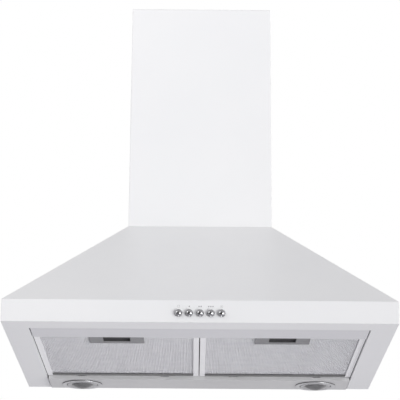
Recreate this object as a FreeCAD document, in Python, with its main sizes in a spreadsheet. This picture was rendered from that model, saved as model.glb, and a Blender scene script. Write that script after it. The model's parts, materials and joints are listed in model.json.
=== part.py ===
import FreeCAD, Part
import math
import os

import Sketcher

# A 60 cm chimney range hood that hangs on a wall over a hob.
# +X is to the right, +Y goes into the wall and +Z is up. The origin lies on the
# wall plane, midway between the two wall fixing holes.

doc = FreeCAD.newDocument("range_hood")
sheet = doc.addObject("Spreadsheet::Sheet", "sizes")
parts = []
rows = []


class Length:
    """A number together with the sheet formula that it comes from."""

    def __init__(self, value, formula):
        self.value = value
        self.formula = formula

    def __add__(self, other):
        other = length(other)
        return Length(self.value + other.value, f"({self.formula} + {other.formula})")

    def __sub__(self, other):
        other = length(other)
        return Length(self.value - other.value, f"({self.formula} - {other.formula})")

    def __mul__(self, other):
        other = length(other)
        return Length(self.value * other.value, f"({self.formula} * {other.formula})")

    def __truediv__(self, other):
        other = length(other)
        return Length(self.value / other.value, f"({self.formula} / {other.formula})")

    def __neg__(self):
        return Length(-self.value, f"(-1 * {self.formula})")

    __radd__ = __add__
    __rmul__ = __mul__


def length(number):
    if isinstance(number, Length):
        return number
    return Length(number, f"({number:.9f})")


def root(number):
    return Length(math.sqrt(number.value), f"sqrt({number.formula})")


def size(name, value):
    """One driving dimension: a row of the sheet with an alias."""
    rows.append(name)
    sheet.set(f"A{len(rows)}", name)
    sheet.set(f"B{len(rows)}", str(value))
    sheet.setAlias(f"B{len(rows)}", name)
    return Length(value, f"sizes.{name}")


# ---------------------------------------------------------------- driving sizes

# canopy, in millimetres
hood_width = size("hood_width", 600)
hood_depth = size("hood_depth", 480)
band_height = size("band_height", 35)
canopy_height = size("canopy_height", 237)
steel = size("steel", 1.2)
deck_inset = size("deck_inset", 3)
side_flange = size("side_flange", 38.5)
front_flange = size("front_flange", 41.5)
lip_height = size("lip_height", 12)
back_hem = size("back_hem", 15)
deck_hem = size("deck_hem", 14)
seat_gap = size("seat_gap", 0.3)
fixing_height = size("fixing_height", 185)
fixing_spacing = size("fixing_spacing", 240)
fixing_radius = size("fixing_radius", 4)

# chimney covers and ceiling bracket
chimney_width = size("chimney_width", 244)
chimney_depth = size("chimney_depth", 200)
cover_height = size("cover_height", 403)
cover_hem = size("cover_hem", 12)
cover_foot = size("cover_foot", 16)
cover_gap = size("cover_gap", 0.5)
upper_lift = size("upper_lift", 18)
vent_length = size("vent_length", 90)
vent_height = size("vent_height", 5)
vent_pitch = size("vent_pitch", 12)
bracket_height = size("bracket_height", 25)
bracket_drop = size("bracket_drop", 15)
bracket_inset = size("bracket_inset", 14)
bracket_reach = size("bracket_reach", 70)
ceiling_spacing = size("ceiling_spacing", 120)
ceiling_radius = size("ceiling_radius", 2.5)

# screws
screw_radius = size("screw_radius", 2)
screw_length = size("screw_length", 8)
screw_head_radius = size("screw_head_radius", 3.8)
screw_head_height = size("screw_head_height", 2.4)
screw_play = size("screw_play", 0.1)

# front strip and grease filters
strip_depth = size("strip_depth", 58.5)
strip_height = size("strip_height", 14)
strip_lift = size("strip_lift", 0.4)
strip_end_gap = size("strip_end_gap", 1.5)
filter_centre_gap = size("filter_centre_gap", 1.6)
filter_side_gap = size("filter_side_gap", 1.5)
filter_front_gap = size("filter_front_gap", 1.5)
filter_rear_gap = size("filter_rear_gap", 3)
filter_height = size("filter_height", 9)
filter_lift = size("filter_lift", 2.6)
filter_border = size("filter_border", 9)
filter_groove = size("filter_groove", 6)
filter_web = size("filter_web", 1)
mesh_thickness = size("mesh_thickness", 1)
mesh_strand = size("mesh_strand", 2)
mesh_play = size("mesh_play", 0.2)
tongue_width = size("tongue_width", 11)
tongue_thickness = size("tongue_thickness", 1.2)
tongue_reach = size("tongue_reach", 7)
tongue_inset = size("tongue_inset", 59)
slot_height = size("slot_height", 3.6)
slot_play = size("slot_play", 1)

# filter handle and latch
handle_width = size("handle_width", 86)
handle_depth = size("handle_depth", 46)
handle_proud = size("handle_proud", 0.6)
handle_web = size("handle_web", 2)
peg_radius = size("peg_radius", 2)
peg_spacing = size("peg_spacing", 66)
recess_width = size("recess_width", 42.5)
recess_depth = size("recess_depth", 30.5)
recess_rim = size("recess_rim", 2)
latch_width = size("latch_width", 42)
latch_height = size("latch_height", 2)
latch_reach = size("latch_reach", 4)
latch_travel = size("latch_travel", 6)
latch_play = size("latch_play", 0.3)
pull_width = size("pull_width", 18)
pull_depth = size("pull_depth", 2)
spring_wire = size("spring_wire", 0.5)
spring_room = size("spring_room", 4)

# lamp panel and lamps
panel_depth = size("panel_depth", 72)
panel_front = size("panel_front", 85)
panel_drop = size("panel_drop", 4)
panel_top = size("panel_top", 14)
panel_end_gap = size("panel_end_gap", 2.5)
panel_bracket_width = size("panel_bracket_width", 30)
panel_bracket_place = size("panel_bracket_place", 95)
lamp_spacing = size("lamp_spacing", 406)
lamp_setback = size("lamp_setback", 46)
lamp_hole = size("lamp_hole", 31)
bezel_radius = size("bezel_radius", 34.5)
bezel_thickness = size("bezel_thickness", 2)
bezel_neck = size("bezel_neck", 6)
lens_radius = size("lens_radius", 26)
lens_dome = size("lens_dome", 18.5)
lens_bulge = size("lens_bulge", 6)
cup_height = size("cup_height", 20)
bulb_radius = size("bulb_radius", 5)
holder_radius = size("holder_radius", 9)
holder_height = size("holder_height", 10)

# push buttons and switch block
button_pitch = size("button_pitch", 16.25)
button_height = size("button_height", 14.5)
button_radius = size("button_radius", 5.5)
button_proud = size("button_proud", 7)
button_depth = size("button_depth", 10)
button_dome = size("button_dome", 3.2)
stem_radius = size("stem_radius", 2)
stem_length = size("stem_length", 18)
running_play = size("running_play", 0.08)
spring_radius = size("spring_radius", 3.4)
button_spring_gap = size("button_spring_gap", 6)
block_half = size("block_half", 43)
block_depth = size("block_depth", 20)
block_height = size("block_height", 22)
terminal_height = size("terminal_height", 6)

# blower
scroll_half = size("scroll_half", 75)
scroll_wall = size("scroll_wall", 2)
scroll_y = size("scroll_y", -128)
scroll_height = size("scroll_height", 150)
scroll_reach = size("scroll_reach", 92)
scroll_shrink = size("scroll_shrink", 22)
seam_width = size("seam_width", 9)
neck_front = size("neck_front", 115.5)
inlet_radius = size("inlet_radius", 52)
guard_radius = size("guard_radius", 70)
guard_thickness = size("guard_thickness", 2)
guard_screw_radius = size("guard_screw_radius", 64)
adaptor_half = size("adaptor_half", 88)
adaptor_thickness = size("adaptor_thickness", 3)
wheel_radius = size("wheel_radius", 62)
wheel_half = size("wheel_half", 58)
blade_count = size("blade_count", 32)
blade_depth = size("blade_depth", 11)
blade_thickness = size("blade_thickness", 1.2)
hub_radius = size("hub_radius", 12)
shaft_radius = size("shaft_radius", 4)
motor_radius = size("motor_radius", 42)
motor_length = size("motor_length", 52)
motor_wall = size("motor_wall", 2)
motor_offset = size("motor_offset", 14)
cap_thickness = size("cap_thickness", 3)
bearing_radius = size("bearing_radius", 11)
bearing_width = size("bearing_width", 7)
rotor_radius = size("rotor_radius", 23.5)
air_gap = size("air_gap", 0.5)
press_gap = size("press_gap", 0.02)
core_length = size("core_length", 24)
mount_radius = size("mount_radius", 6)
mount_circle = size("mount_circle", 28)

# outlet and damper
duct_radius = size("duct_radius", 75)
duct_wall = size("duct_wall", 1.5)
duct_height = size("duct_height", 60)
duct_y = size("duct_y", -100)
duct_flange = size("duct_flange", 84)
duct_flange_height = size("duct_flange_height", 2)
duct_screw_radius = size("duct_screw_radius", 80)
flap_height = size("flap_height", 24)
flap_thickness = size("flap_thickness", 1)
flap_play = size("flap_play", 1.2)
pin_radius = size("pin_radius", 1.5)
pin_inset = size("pin_inset", 0.5)
knuckle_radius = size("knuckle_radius", 2.8)
knuckle_play = size("knuckle_play", 0.4)
knuckle_start = size("knuckle_start", 25)
knuckle_end = size("knuckle_end", 45)
middle_knuckle = size("middle_knuckle", 23)
stop_half = size("stop_half", 6)
stop_height = size("stop_height", 3)
stop_depth = size("stop_depth", 5)
stop_bite = size("stop_bite", 0.5)

# electrics on the back plate
box_x = size("box_x", -170)
box_width = size("box_width", 70)
box_base = size("box_base", 60)
box_height = size("box_height", 50)
box_depth = size("box_depth", 38)
box_wall = size("box_wall", 2)
capacitor_radius = size("capacitor_radius", 12)
capacitor_length = size("capacitor_length", 45)
connector_inset = size("connector_inset", 8)
connector_size = size("connector_size", 10)
gland_radius = size("gland_radius", 8)
gland_step = size("gland_step", 2)
gland_bore = size("gland_bore", 4)
gland_height = size("gland_height", 12)
grommet_x = size("grommet_x", -97)
grommet_y = size("grommet_y", -30)
grommet_radius = size("grommet_radius", 8)
grommet_lip = size("grommet_lip", 2)
grommet_bore = size("grommet_bore", 4)

# ---------------------------------------------------------------- derived places

side_x = hood_width / 2
front_y = -hood_depth
rim_z = -fixing_height
band_z = rim_z + band_height
deck_z = rim_z + canopy_height
top_z = deck_z + cover_height
opening_x = side_x - side_flange
opening_y = front_y + front_flange
cover_x = chimney_width / 2

# the sloping walls keep the same thickness as the upright ones
slope_rise = canopy_height - band_height
side_run = (side_x - cover_x) / slope_rise
front_run = (hood_depth - chimney_depth) / slope_rise
side_shift = steel * root(1 + side_run * side_run)
front_shift = steel * root(1 + front_run * front_run)

plate_z = deck_z - steel * 2
strip_rear_y = opening_y + strip_depth
filter_front_y = strip_rear_y + filter_front_gap
filter_rear_y = -panel_front - filter_rear_gap
filter_z = rim_z + filter_lift
filter_inner_x = filter_centre_gap / 2
filter_outer_x = opening_x - filter_side_gap
filter_middle_x = (filter_inner_x + filter_outer_x) / 2
tongue_z = filter_z + tongue_thickness / 6
pivot_z = tongue_z + tongue_thickness / 2
panel_front_y = -panel_front
panel_rear_y = panel_front_y + panel_depth
panel_z = rim_z - panel_drop
panel_x = opening_x - panel_end_gap
lamp_x = lamp_spacing / 2
lamp_y = -lamp_setback
button_z = rim_z + button_height
block_front_y = front_y + button_depth + button_spring_gap
scroll_z = rim_z + scroll_height
neck_rear_y = scroll_y + scroll_reach
neck_front_y = -neck_front
motor_right_x = -motor_offset
motor_left_x = motor_right_x - motor_length
flap_z = deck_z + flap_height
duct_inside = duct_radius - duct_wall
upper_base_z = deck_z + upper_lift
upper_top_z = top_z - steel
upper_x = cover_x - steel - cover_gap
upper_front_y = -chimney_depth + steel + cover_gap
upper_rear_y = -steel - cover_gap
bracket_z = upper_top_z - bracket_drop - bracket_height

BUTTONS = 5
MESH_ROWS = 17
MESH_COLUMNS = 17
BIG = 1000
ROUND = {"x": ((0, 1, 0), 90), "y": ((1, 0, 0), -90), "z": ((0, 0, 1), 0)}

# ---------------------------------------------------------------- shape helpers


def bind(item, field, number):
    item.setExpression(field, length(number).formula)


def place(item, x, y, z):
    for field, number in (("x", x), ("y", y), ("z", z)):
        bind(item, f"Placement.Base.{field}", number)
    return item


def box(name, x, y, z):
    """A block between the low and high value of each pair."""
    item = doc.addObject("Part::Box", name)
    for field, (low, high) in zip(("Length", "Width", "Height"), (x, y, z)):
        bind(item, field, length(high) - low)
    return place(item, x[0], y[0], z[0])


def rod(name, axis, radius, centre, low, high):
    """A cylinder along an axis; centre gives the two other coordinates in order."""
    item = doc.addObject("Part::Cylinder", name)
    bind(item, "Radius", radius)
    bind(item, "Height", length(high) - low)
    turn, angle = ROUND[axis]
    item.Placement = FreeCAD.Placement(FreeCAD.Vector(), FreeCAD.Rotation(FreeCAD.Vector(*turn), angle))
    spot = list(centre)
    spot.insert("xyz".index(axis), low)
    return place(item, *spot)


def ball(name, radius, x, y, z):
    item = doc.addObject("Part::Sphere", name)
    bind(item, "Radius", radius)
    return place(item, x, y, z)


def frustum(name, base_x, base_y, top_x, top_y, z):
    """A pyramid stump with its back upright; each y pair is (front, back)."""
    item = doc.addObject("Part::Wedge", name)
    values = {
        "Xmin": -base_x, "Xmax": base_x, "Zmin": -base_y[1], "Zmax": -base_y[0],
        "X2min": -top_x, "X2max": top_x, "Z2min": -top_y[1], "Z2max": -top_y[0],
        "Ymin": length(0), "Ymax": z[1] - z[0],
    }
    for field, number in values.items():
        setattr(item, field, number.value)
        bind(item, field, number)
    item.Placement = FreeCAD.Placement(FreeCAD.Vector(), FreeCAD.Rotation(FreeCAD.Vector(1, 0, 0), 90))
    return place(item, 0, 0, z[0])


def fuse(name, *items):
    item = doc.addObject("Part::MultiFuse", name)
    item.Shapes = list(items)
    return item


def cut(name, base, *tools):
    item = doc.addObject("Part::Cut", name)
    item.Base = base
    item.Tool = tools[0] if len(tools) == 1 else fuse(f"{name}_tools", *tools)
    return item


def common(name, *items):
    item = doc.addObject("Part::MultiCommon", name)
    item.Shapes = list(items)
    return item


def group(name, items):
    """Identical pieces that share one node as separate solids."""
    item = doc.addObject("Part::Compound", name)
    item.Links = items
    return item


def tube(name, axis, outside, inside, centre, low, high):
    solid = rod(f"{name}_outside", axis, outside, centre, low, high)
    hole = rod(f"{name}_inside", axis, inside, centre, length(low) - 1, length(high) + 1)
    return cut(name, solid, hole)


def draw(body, name, role, points):
    """A closed outline of straight lines whose corners are bound to the sheet."""
    sketch = body.newObject("Sketcher::SketchObject", name)
    plane = [item for item in body.Origin.OriginFeatures if item.Role == role][0]
    sketch.AttachmentSupport = [(plane, "")]
    sketch.MapMode = "FlatFace"
    corners = [(length(across), length(up)) for across, up in points]
    for number, (across, up) in enumerate(corners):
        following = corners[(number + 1) % len(corners)]
        start = FreeCAD.Vector(across.value, up.value, 0)
        end = FreeCAD.Vector(following[0].value, following[1].value, 0)
        sketch.addGeometry(Part.LineSegment(start, end), False)
    for number, (across, up) in enumerate(corners):
        sketch.addConstraint(Sketcher.Constraint("Coincident", number, 2, (number + 1) % len(corners), 1))
        for kind, distance in (("DistanceX", across), ("DistanceY", up)):
            row = sketch.addConstraint(Sketcher.Constraint(kind, -1, 1, number, 1, distance.value))
            sketch.setExpression(f"Constraints[{row}]", distance.formula)
    return sketch


def prism(name, axis, points, low, high):
    """A padded outline. Corners are (y, z) along x, (x, z) along y and (x, y) along z."""
    body = doc.addObject("PartDesign::Body", name)
    role = {"x": "YZ_Plane", "y": "XZ_Plane", "z": "XY_Plane"}[axis]
    sketch = draw(body, f"{name}_outline", role, points)
    pad = body.newObject("PartDesign::Pad", f"{name}_pad")
    pad.Profile = sketch
    bind(pad, "Length", length(high) - low)
    # the XZ plane looks towards -Y, so its pads start from the high side
    start = high if axis == "y" else low
    bind(body, f"Placement.Base.{axis}", start)
    return body


def turned(name, axis, centre, profile, dome):
    """A revolved outline of (radius, along) corners. The edge that starts at the corner
    numbered dome is an arc about a point on the axis; the others are straight."""
    body = doc.addObject("PartDesign::Body", name)
    sketch = body.newObject("Sketcher::SketchObject", f"{name}_outline")
    plane = [item for item in body.Origin.OriginFeatures if item.Role == "XY_Plane"][0]
    sketch.AttachmentSupport = [(plane, "")]
    sketch.MapMode = "FlatFace"
    corners = [(length(across), length(along)) for across, along in profile]
    ends = []
    for number, corner in enumerate(corners):
        following = corners[(number + 1) % len(corners)]
        start, end = (FreeCAD.Vector(across.value, along.value, 0) for across, along in (corner, following))
        if number == dome:
            rise = end.y - start.y
            radius = (end.x * end.x + rise * rise) / (2 * abs(rise))
            middle_y = start.y + math.copysign(radius, rise)
            half = FreeCAD.Vector(end.x / 2, 0, 0)
            half.y = middle_y - math.copysign(math.sqrt(radius * radius - half.x * half.x), rise)
            sketch.addGeometry(Part.Arc(start, half, end), False)
            first = 1 if sketch.Geometry[number].StartPoint.distanceToPoint(start) < 1e-6 else 2
        else:
            sketch.addGeometry(Part.LineSegment(start, end), False)
            first = 1
        ends.append((first, 3 - first))
    for number, (across, along) in enumerate(corners):
        following = (number + 1) % len(corners)
        sketch.addConstraint(
            Sketcher.Constraint("Coincident", number, ends[number][1], following, ends[following][0]))
        for kind, distance in (("DistanceX", across), ("DistanceY", along)):
            row = sketch.addConstraint(
                Sketcher.Constraint(kind, -1, 1, number, ends[number][0], distance.value))
            sketch.setExpression(f"Constraints[{row}]", distance.formula)
    sketch.addConstraint(Sketcher.Constraint("PointOnObject", dome, 3, -2))
    spin = body.newObject("PartDesign::Revolution", f"{name}_turned")
    spin.Profile = sketch
    spin.ReferenceAxis = ([item for item in body.Origin.OriginFeatures if item.Role == "Y_Axis"][0], [""])
    spin.Angle = 360
    turn, angle = {"y": ((0, 0, 1), 0), "z": ((1, 0, 0), 90)}[axis]
    body.Placement = FreeCAD.Placement(FreeCAD.Vector(), FreeCAD.Rotation(FreeCAD.Vector(*turn), angle))
    spot = list(centre)
    spot.insert("xyz".index(axis), 0)
    return place(body, *spot)


def mirrored(pair, side):
    """The pair of x values on one side of the middle: side is -1 or 1."""
    low, high = (length(number) * side for number in pair)
    return (low, high) if side > 0 else (high, low)


def part(name, item):
    """Marks a finished piece, whose label names its file."""
    item.Label = name
    parts.append(item)
    return item


def screw(name, axis, centre, seat, way):
    """A pan-head screw whose shank runs from its seat, way is -1 or 1."""
    head = length(seat) - screw_head_height * way
    tip = length(seat) + screw_length * way
    head_pair = (head, seat) if way > 0 else (seat, head)
    tip_pair = (seat, tip) if way > 0 else (tip, seat)
    return fuse(
        name,
        rod(f"{name}_head", axis, screw_head_radius, centre, *head_pair),
        rod(f"{name}_shank", axis, screw_radius, centre, *tip_pair),
    )


def screw_hole(name, axis, centre, low, high):
    return rod(name, axis, screw_radius + screw_play, centre, low, high)


# ---------------------------------------------------------------- screw places

# each is (axis, centre, seat, way)
deck_screw_spots = [
    ("z", (side * (cover_x - cover_foot / 2), y), plate_z, 1)
    for side in (-1, 1)
    for y in (-chimney_depth * 0.3, -chimney_depth * 0.75)
]
strip_screw_spots = [
    ("y", (opening_x * share, rim_z + lip_height * 2 / 3), opening_y + steel, -1)
    for share in (-0.77, -0.27, 0.27, 0.77)
]
panel_screw_spots = [
    ("y", (side * panel_bracket_place, rim_z + panel_top / 2), panel_rear_y - steel, 1)
    for side in (-1, 1)
]
switch_screw_spots = [
    ("x", (block_front_y + block_depth / 2, rim_z + block_height / 3), side * (block_half + steel), -side)
    for side in (-1, 1)
]
duct_screw_spots = [
    (
        "z",
        (duct_screw_radius * math.cos(angle), duct_y + duct_screw_radius * math.sin(angle)),
        deck_z - steel + duct_flange_height,
        -1,
    )
    for angle in (math.radians(turn) for turn in (60, 120, 240, 300))
]
guard_screw_spots = [
    (
        "x",
        (scroll_y + guard_screw_radius * math.cos(angle), scroll_z + guard_screw_radius * math.sin(angle)),
        side * (scroll_half + guard_thickness),
        -side,
    )
    for side in (-1, 1)
    for angle in (math.radians(turn) for turn in (90, 210, 330))
]


def spiral(travel, extra):
    """A (y, z) point on the scroll, travel degrees down from the rear, extra outwards."""
    reach = scroll_reach - scroll_shrink * (travel / 280) + extra
    angle = math.radians(-travel)
    return scroll_y + reach * math.cos(angle), scroll_z + reach * math.sin(angle)


seam_screw_spots = [
    ("x", spiral(travel, scroll_wall + seam_width / 2), scroll_wall, -1)
    for travel in (40, 140, 220)
]
screw_spots = (
    deck_screw_spots + strip_screw_spots + panel_screw_spots + switch_screw_spots
    + duct_screw_spots + guard_screw_spots + seam_screw_spots
)


def holes(name, spots, low, high):
    """Clearance holes for a row of screws, between two values on their axis."""
    return [
        screw_hole(f"{name}_{number}", axis, centre, low, high)
        for number, (axis, centre, seat, way) in enumerate(spots, 1)
    ]


def side_holes(name, spots, reach):
    """Clearance holes along x that start at each screw's seat and run inwards."""
    found = []
    for number, (axis, centre, seat, way) in enumerate(spots, 1):
        inner = seat + reach * way
        pair = (seat, inner) if way > 0 else (inner, seat)
        found.append(screw_hole(f"{name}_{number}", axis, centre, *pair))
    return found


# ---------------------------------------------------------------- canopy


def back_outline(inset):
    """The outline of the canopy's back, inset from its outer faces."""
    slope_top = cover_x - inset + inset * side_run
    return [
        (-side_x + inset, rim_z + inset), (side_x - inset, rim_z + inset),
        (side_x - inset, band_z), (slope_top, deck_z - inset),
        (-slope_top, deck_z - inset), (-side_x + inset, band_z),
    ]


def canopy_shell():
    """The folded and welded outer sheet: band, pyramid, bottom flange and hems."""
    outside = fuse(
        "canopy_outside",
        box("band_outside", (-side_x, side_x), (front_y, 0), (rim_z, band_z)),
        frustum("slope_outside", side_x, (front_y, length(0)), cover_x, (-chimney_depth, length(0)),
                (band_z, deck_z)),
    )
    back_y = -steel * 2
    inside = fuse(
        "canopy_inside",
        box("band_inside", (-side_x + steel, side_x - steel), (front_y + steel, back_y),
            (rim_z + steel, band_z)),
        frustum("slope_inside", side_x - side_shift, (front_y + front_shift, back_y),
                cover_x - side_shift, (-chimney_depth + front_shift, back_y), (band_z, deck_z)),
    )
    walls = cut("canopy_walls", outside, inside)
    lip_z = (rim_z, rim_z + lip_height)
    lips = [
        box(f"canopy_lip_{side}", mirrored((opening_x, opening_x + steel), side),
            (opening_y - steel, back_y), lip_z)
        for side in (-1, 1)
    ]
    lips.append(box("canopy_lip_front", (-opening_x, opening_x), (opening_y - steel, opening_y), lip_z))
    deck = box("canopy_deck", (-cover_x, cover_x), (-chimney_depth, 0), (deck_z - steel, deck_z))
    folded = fuse("canopy_folded", walls, deck, *lips)
    buttons = [
        rod(f"button_hole_{number}", "y", button_radius + running_play,
            (button_pitch * (number - (BUTTONS - 1) / 2), button_z), front_y - 1, front_y + steel + 1)
        for number in range(BUTTONS)
    ]
    tools = [
        box("canopy_mouth", (-opening_x, opening_x), (opening_y, back_y), (rim_z - 1, rim_z + steel)),
        box("deck_mouth", (-cover_x + deck_hem, cover_x - deck_hem),
            (-chimney_depth + deck_hem, -deck_hem), (deck_z - steel - 1, deck_z + 1)),
        prism("back_recess", "y", back_outline(steel), -steel, 1),
        prism("back_window", "y", back_outline(back_hem), -steel * 3, 1),
    ]
    tools += buttons
    tools += holes("canopy_deck_hole", deck_screw_spots, deck_z - steel - 1, deck_z + 1)
    tools += holes("canopy_strip_hole", strip_screw_spots, opening_y - steel - 1, opening_y + 1)
    return part("canopy_shell", cut("canopy_shell", folded, *tools))


def canopy_back_plate():
    """The flat plate that closes the back and carries the two wall fixing holes."""
    plate = prism("back_plate_blank", "y", back_outline(steel + seat_gap), -steel, 0)
    fixings = [
        rod(f"wall_hole_{side}", "y", fixing_radius, (fixing_spacing / 2 * side, 0), -steel - 1, 1)
        for side in (-1, 1)
    ]
    return part("canopy_back_plate", cut("canopy_back_plate", plate, *fixings))


def canopy_top_plate():
    """The blower deck under the canopy's top hem."""
    blank = box("top_plate_blank", (-cover_x + deck_inset, cover_x - deck_inset),
                (-chimney_depth + deck_inset, -deck_inset), (plate_z, plate_z + steel))
    low, high = plate_z - 1, plate_z + steel + 1
    tools = [
        rod("top_plate_duct", "z", duct_inside, (0, duct_y), low, high),
        rod("top_plate_cable", "z", grommet_radius - grommet_lip, (grommet_x, grommet_y), low, high),
    ]
    tools += holes("top_plate_hole", deck_screw_spots + duct_screw_spots, low, high)
    return part("canopy_top_plate", cut("canopy_top_plate", blank, *tools))


# ---------------------------------------------------------------- chimney


def cover(name, half, y, z, foot):
    """A three-sided cover, open at the back between two hems and open at both ends."""
    blank = box(f"{name}_blank", (-half, half), y, z)
    floor_z = z[0] + steel if foot else z[0] - 1
    inside = box(f"{name}_inside", (-half + steel, half - steel),
                 (y[0] + steel, y[1] - steel), (floor_z, z[1] + 1))
    back = box(f"{name}_back", (-half + cover_hem, half - cover_hem),
               (y[1] - steel - 1, y[1] + 1), (z[0] - 1, z[1] + 1))
    return [blank, inside, back]


def chimney_lower():
    blank, *tools = cover("lower_cover", cover_x, (-chimney_depth, length(0)), (deck_z, top_z), True)
    tools.append(box("lower_mouth", (-cover_x + cover_foot, cover_x - cover_foot),
                     (-chimney_depth + cover_foot, 1), (deck_z - 1, deck_z + steel + 1)))
    tools += holes("lower_hole", deck_screw_spots, deck_z - 1, deck_z + steel + 1)
    return part("chimney_lower_cover", cut("chimney_lower_cover", blank, *tools))


def bracket_screw_places():
    y = upper_rear_y - bracket_reach * 0.75
    return [(y, bracket_z + bracket_height / 2)]


def chimney_upper():
    """The inner cover, which slides up out of the lower one and has side vents."""
    blank, *tools = cover("upper_cover", upper_x, (upper_front_y, upper_rear_y),
                          (upper_base_z, upper_top_z), False)
    middle_y = -chimney_depth / 2
    for side in (-1, 1):
        for row in range(5):
            low_z = bracket_z - vent_pitch * (row + 2)
            tools.append(box(f"vent_{side}_{row}", mirrored((upper_x - steel - 1, upper_x + 1), side),
                             (middle_y - vent_length / 2, middle_y + vent_length / 2),
                             (low_z, low_z + vent_height)))
        for centre in bracket_screw_places():
            pair = mirrored((upper_x - steel - 1, upper_x + 1), side)
            tools.append(rod(f"upper_screw_seat_{side}", "x", screw_head_radius - seat_gap / 2,
                             centre, *pair))
    return part("chimney_upper_cover", cut("chimney_upper_cover", blank, *tools))


def ceiling_bracket():
    """The wall bracket that the raised upper cover is screwed to."""
    wall_x = upper_x - bracket_inset
    foot_y = upper_rear_y - bracket_reach / 2
    z = (bracket_z, bracket_z + bracket_height)
    side_in = upper_x - steel
    pieces = [box("bracket_wall", (-wall_x, wall_x), (-steel, 0), z)]
    for side in (-1, 1):
        pieces.append(box(f"bracket_arm_{side}", mirrored((wall_x - steel, wall_x), side),
                          (foot_y, 0), z))
        pieces.append(box(f"bracket_step_{side}", mirrored((wall_x - steel, side_in), side),
                          (foot_y - steel, foot_y), z))
        pieces.append(box(f"bracket_tab_{side}", mirrored((side_in - steel, side_in), side),
                          (upper_rear_y - bracket_reach, foot_y), z))
    tools = [
        rod(f"ceiling_hole_{side}", "y", ceiling_radius,
            (ceiling_spacing / 2 * side, bracket_z + bracket_height / 2), -steel - 1, 1)
        for side in (-1, 1)
    ]
    for side in (-1, 1):
        for centre in bracket_screw_places():
            pair = mirrored((side_in - steel - 1, side_in + 1), side)
            tools.append(screw_hole(f"bracket_tab_hole_{side}", "x", centre, *pair))
    return part("ceiling_bracket", cut("ceiling_bracket", fuse("bracket_folded", *pieces), *tools))


def bracket_screws():
    """Flat-head screws that lie flush in the upper cover's sides."""
    found = []
    side_in = upper_x - steel
    for side in (-1, 1):
        for centre in bracket_screw_places():
            head = rod(f"bracket_head_{side}", "x", screw_head_radius - seat_gap, centre,
                       *mirrored((side_in, upper_x - seat_gap), side))
            shank = rod(f"bracket_shank_{side}", "x", screw_radius, centre,
                        *mirrored((side_in - screw_length, side_in), side))
            found.append(fuse(f"bracket_screw_{side}", head, shank))
    return part("ceiling_bracket_screws", group("ceiling_bracket_screws", found))


# ---------------------------------------------------------------- front strip


def front_strip():
    """The trough-shaped cross strip between the front flange and the filters."""
    end_x = opening_x - strip_end_gap
    low_z = rim_z + strip_lift
    blank = box("strip_blank", (-end_x, end_x), (opening_y, strip_rear_y),
                (low_z, rim_z + strip_height))
    inside = box("strip_inside", (-end_x - 1, end_x + 1), (opening_y + steel, strip_rear_y - steel),
                 (low_z + steel, rim_z + strip_height + 1))
    tools = [inside]
    tools += holes("strip_hole", strip_screw_spots, opening_y - 1, opening_y + steel + 1)
    for side in (-1, 1):
        middle = filter_middle_x * side
        half = latch_width / 2 + latch_play
        latch_z = latch_low_z()
        tools.append(box(f"strip_slot_{side}", (middle - half, middle + half),
                         (strip_rear_y - steel - 1, strip_rear_y + 1),
                         (latch_z - latch_play, latch_z + latch_height + latch_play)))
    return part("front_strip", cut("front_strip", blank, *tools))


# ---------------------------------------------------------------- grease filters


def latch_low_z():
    return filter_z + filter_height / 2 - latch_height / 2


def handle_pair(side, extra):
    middle = filter_middle_x * side
    return (middle - handle_width / 2 - extra, middle + handle_width / 2 + extra)


def handle_rear_y():
    return filter_front_y + handle_depth


def peg_spots(side):
    middle = filter_middle_x * side
    y = filter_front_y + filter_border / 2
    return [(middle + peg_spacing / 2 * way, y) for way in (-1, 1)]


def tongue_pairs(side):
    """The x pairs of the two rear tongues of one filter."""
    near, far = tongue_inset, filter_outer_x + filter_inner_x - tongue_inset
    half = tongue_width / 2
    return [mirrored((middle - half, middle + half), side) for middle in (near, far)]


def filter_frame(side, word):
    """A channel-section aluminium frame, with two tongues at its rear edge."""
    x = mirrored((filter_inner_x, filter_outer_x), side)
    y = (filter_front_y, filter_rear_y)
    z = (filter_z, filter_z + filter_height)
    blank = box(f"frame_blank_{word}", x, y, z)
    inner = [
        (x[0] + filter_border, x[1] - filter_border),
        (y[0] + filter_border, y[1] - filter_border),
        (z[0] - 1, z[1] + 1),
    ]
    deep = filter_border - filter_groove
    groove = [
        (x[0] + deep, x[1] - deep),
        (y[0] + deep, y[1] - deep),
        (z[0] + filter_web, z[1] - filter_web),
    ]
    tools = [
        box(f"frame_window_{word}", *inner),
        box(f"frame_groove_{word}", *groove),
        box(f"frame_handle_{word}", handle_pair(side, mesh_play),
            (y[0] - 1, handle_rear_y() + mesh_play), (z[0] - 1, z[1] - handle_web)),
    ]
    tools += [
        rod(f"frame_peg_{word}_{number}", "z", peg_radius + running_play, spot, z[0], z[1] + 1)
        for number, spot in enumerate(peg_spots(side))
    ]
    ring = cut(f"frame_ring_{word}", blank, *tools)
    tongues = [
        box(f"tongue_{word}_{number}", pair, (filter_rear_y, panel_front_y + steel / 2 + tongue_reach),
            (tongue_z, tongue_z + tongue_thickness))
        for number, pair in enumerate(tongue_pairs(side))
    ]
    return part(f"filter_frame_{word}", fuse(f"filter_frame_{word}", ring, *tongues))


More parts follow.
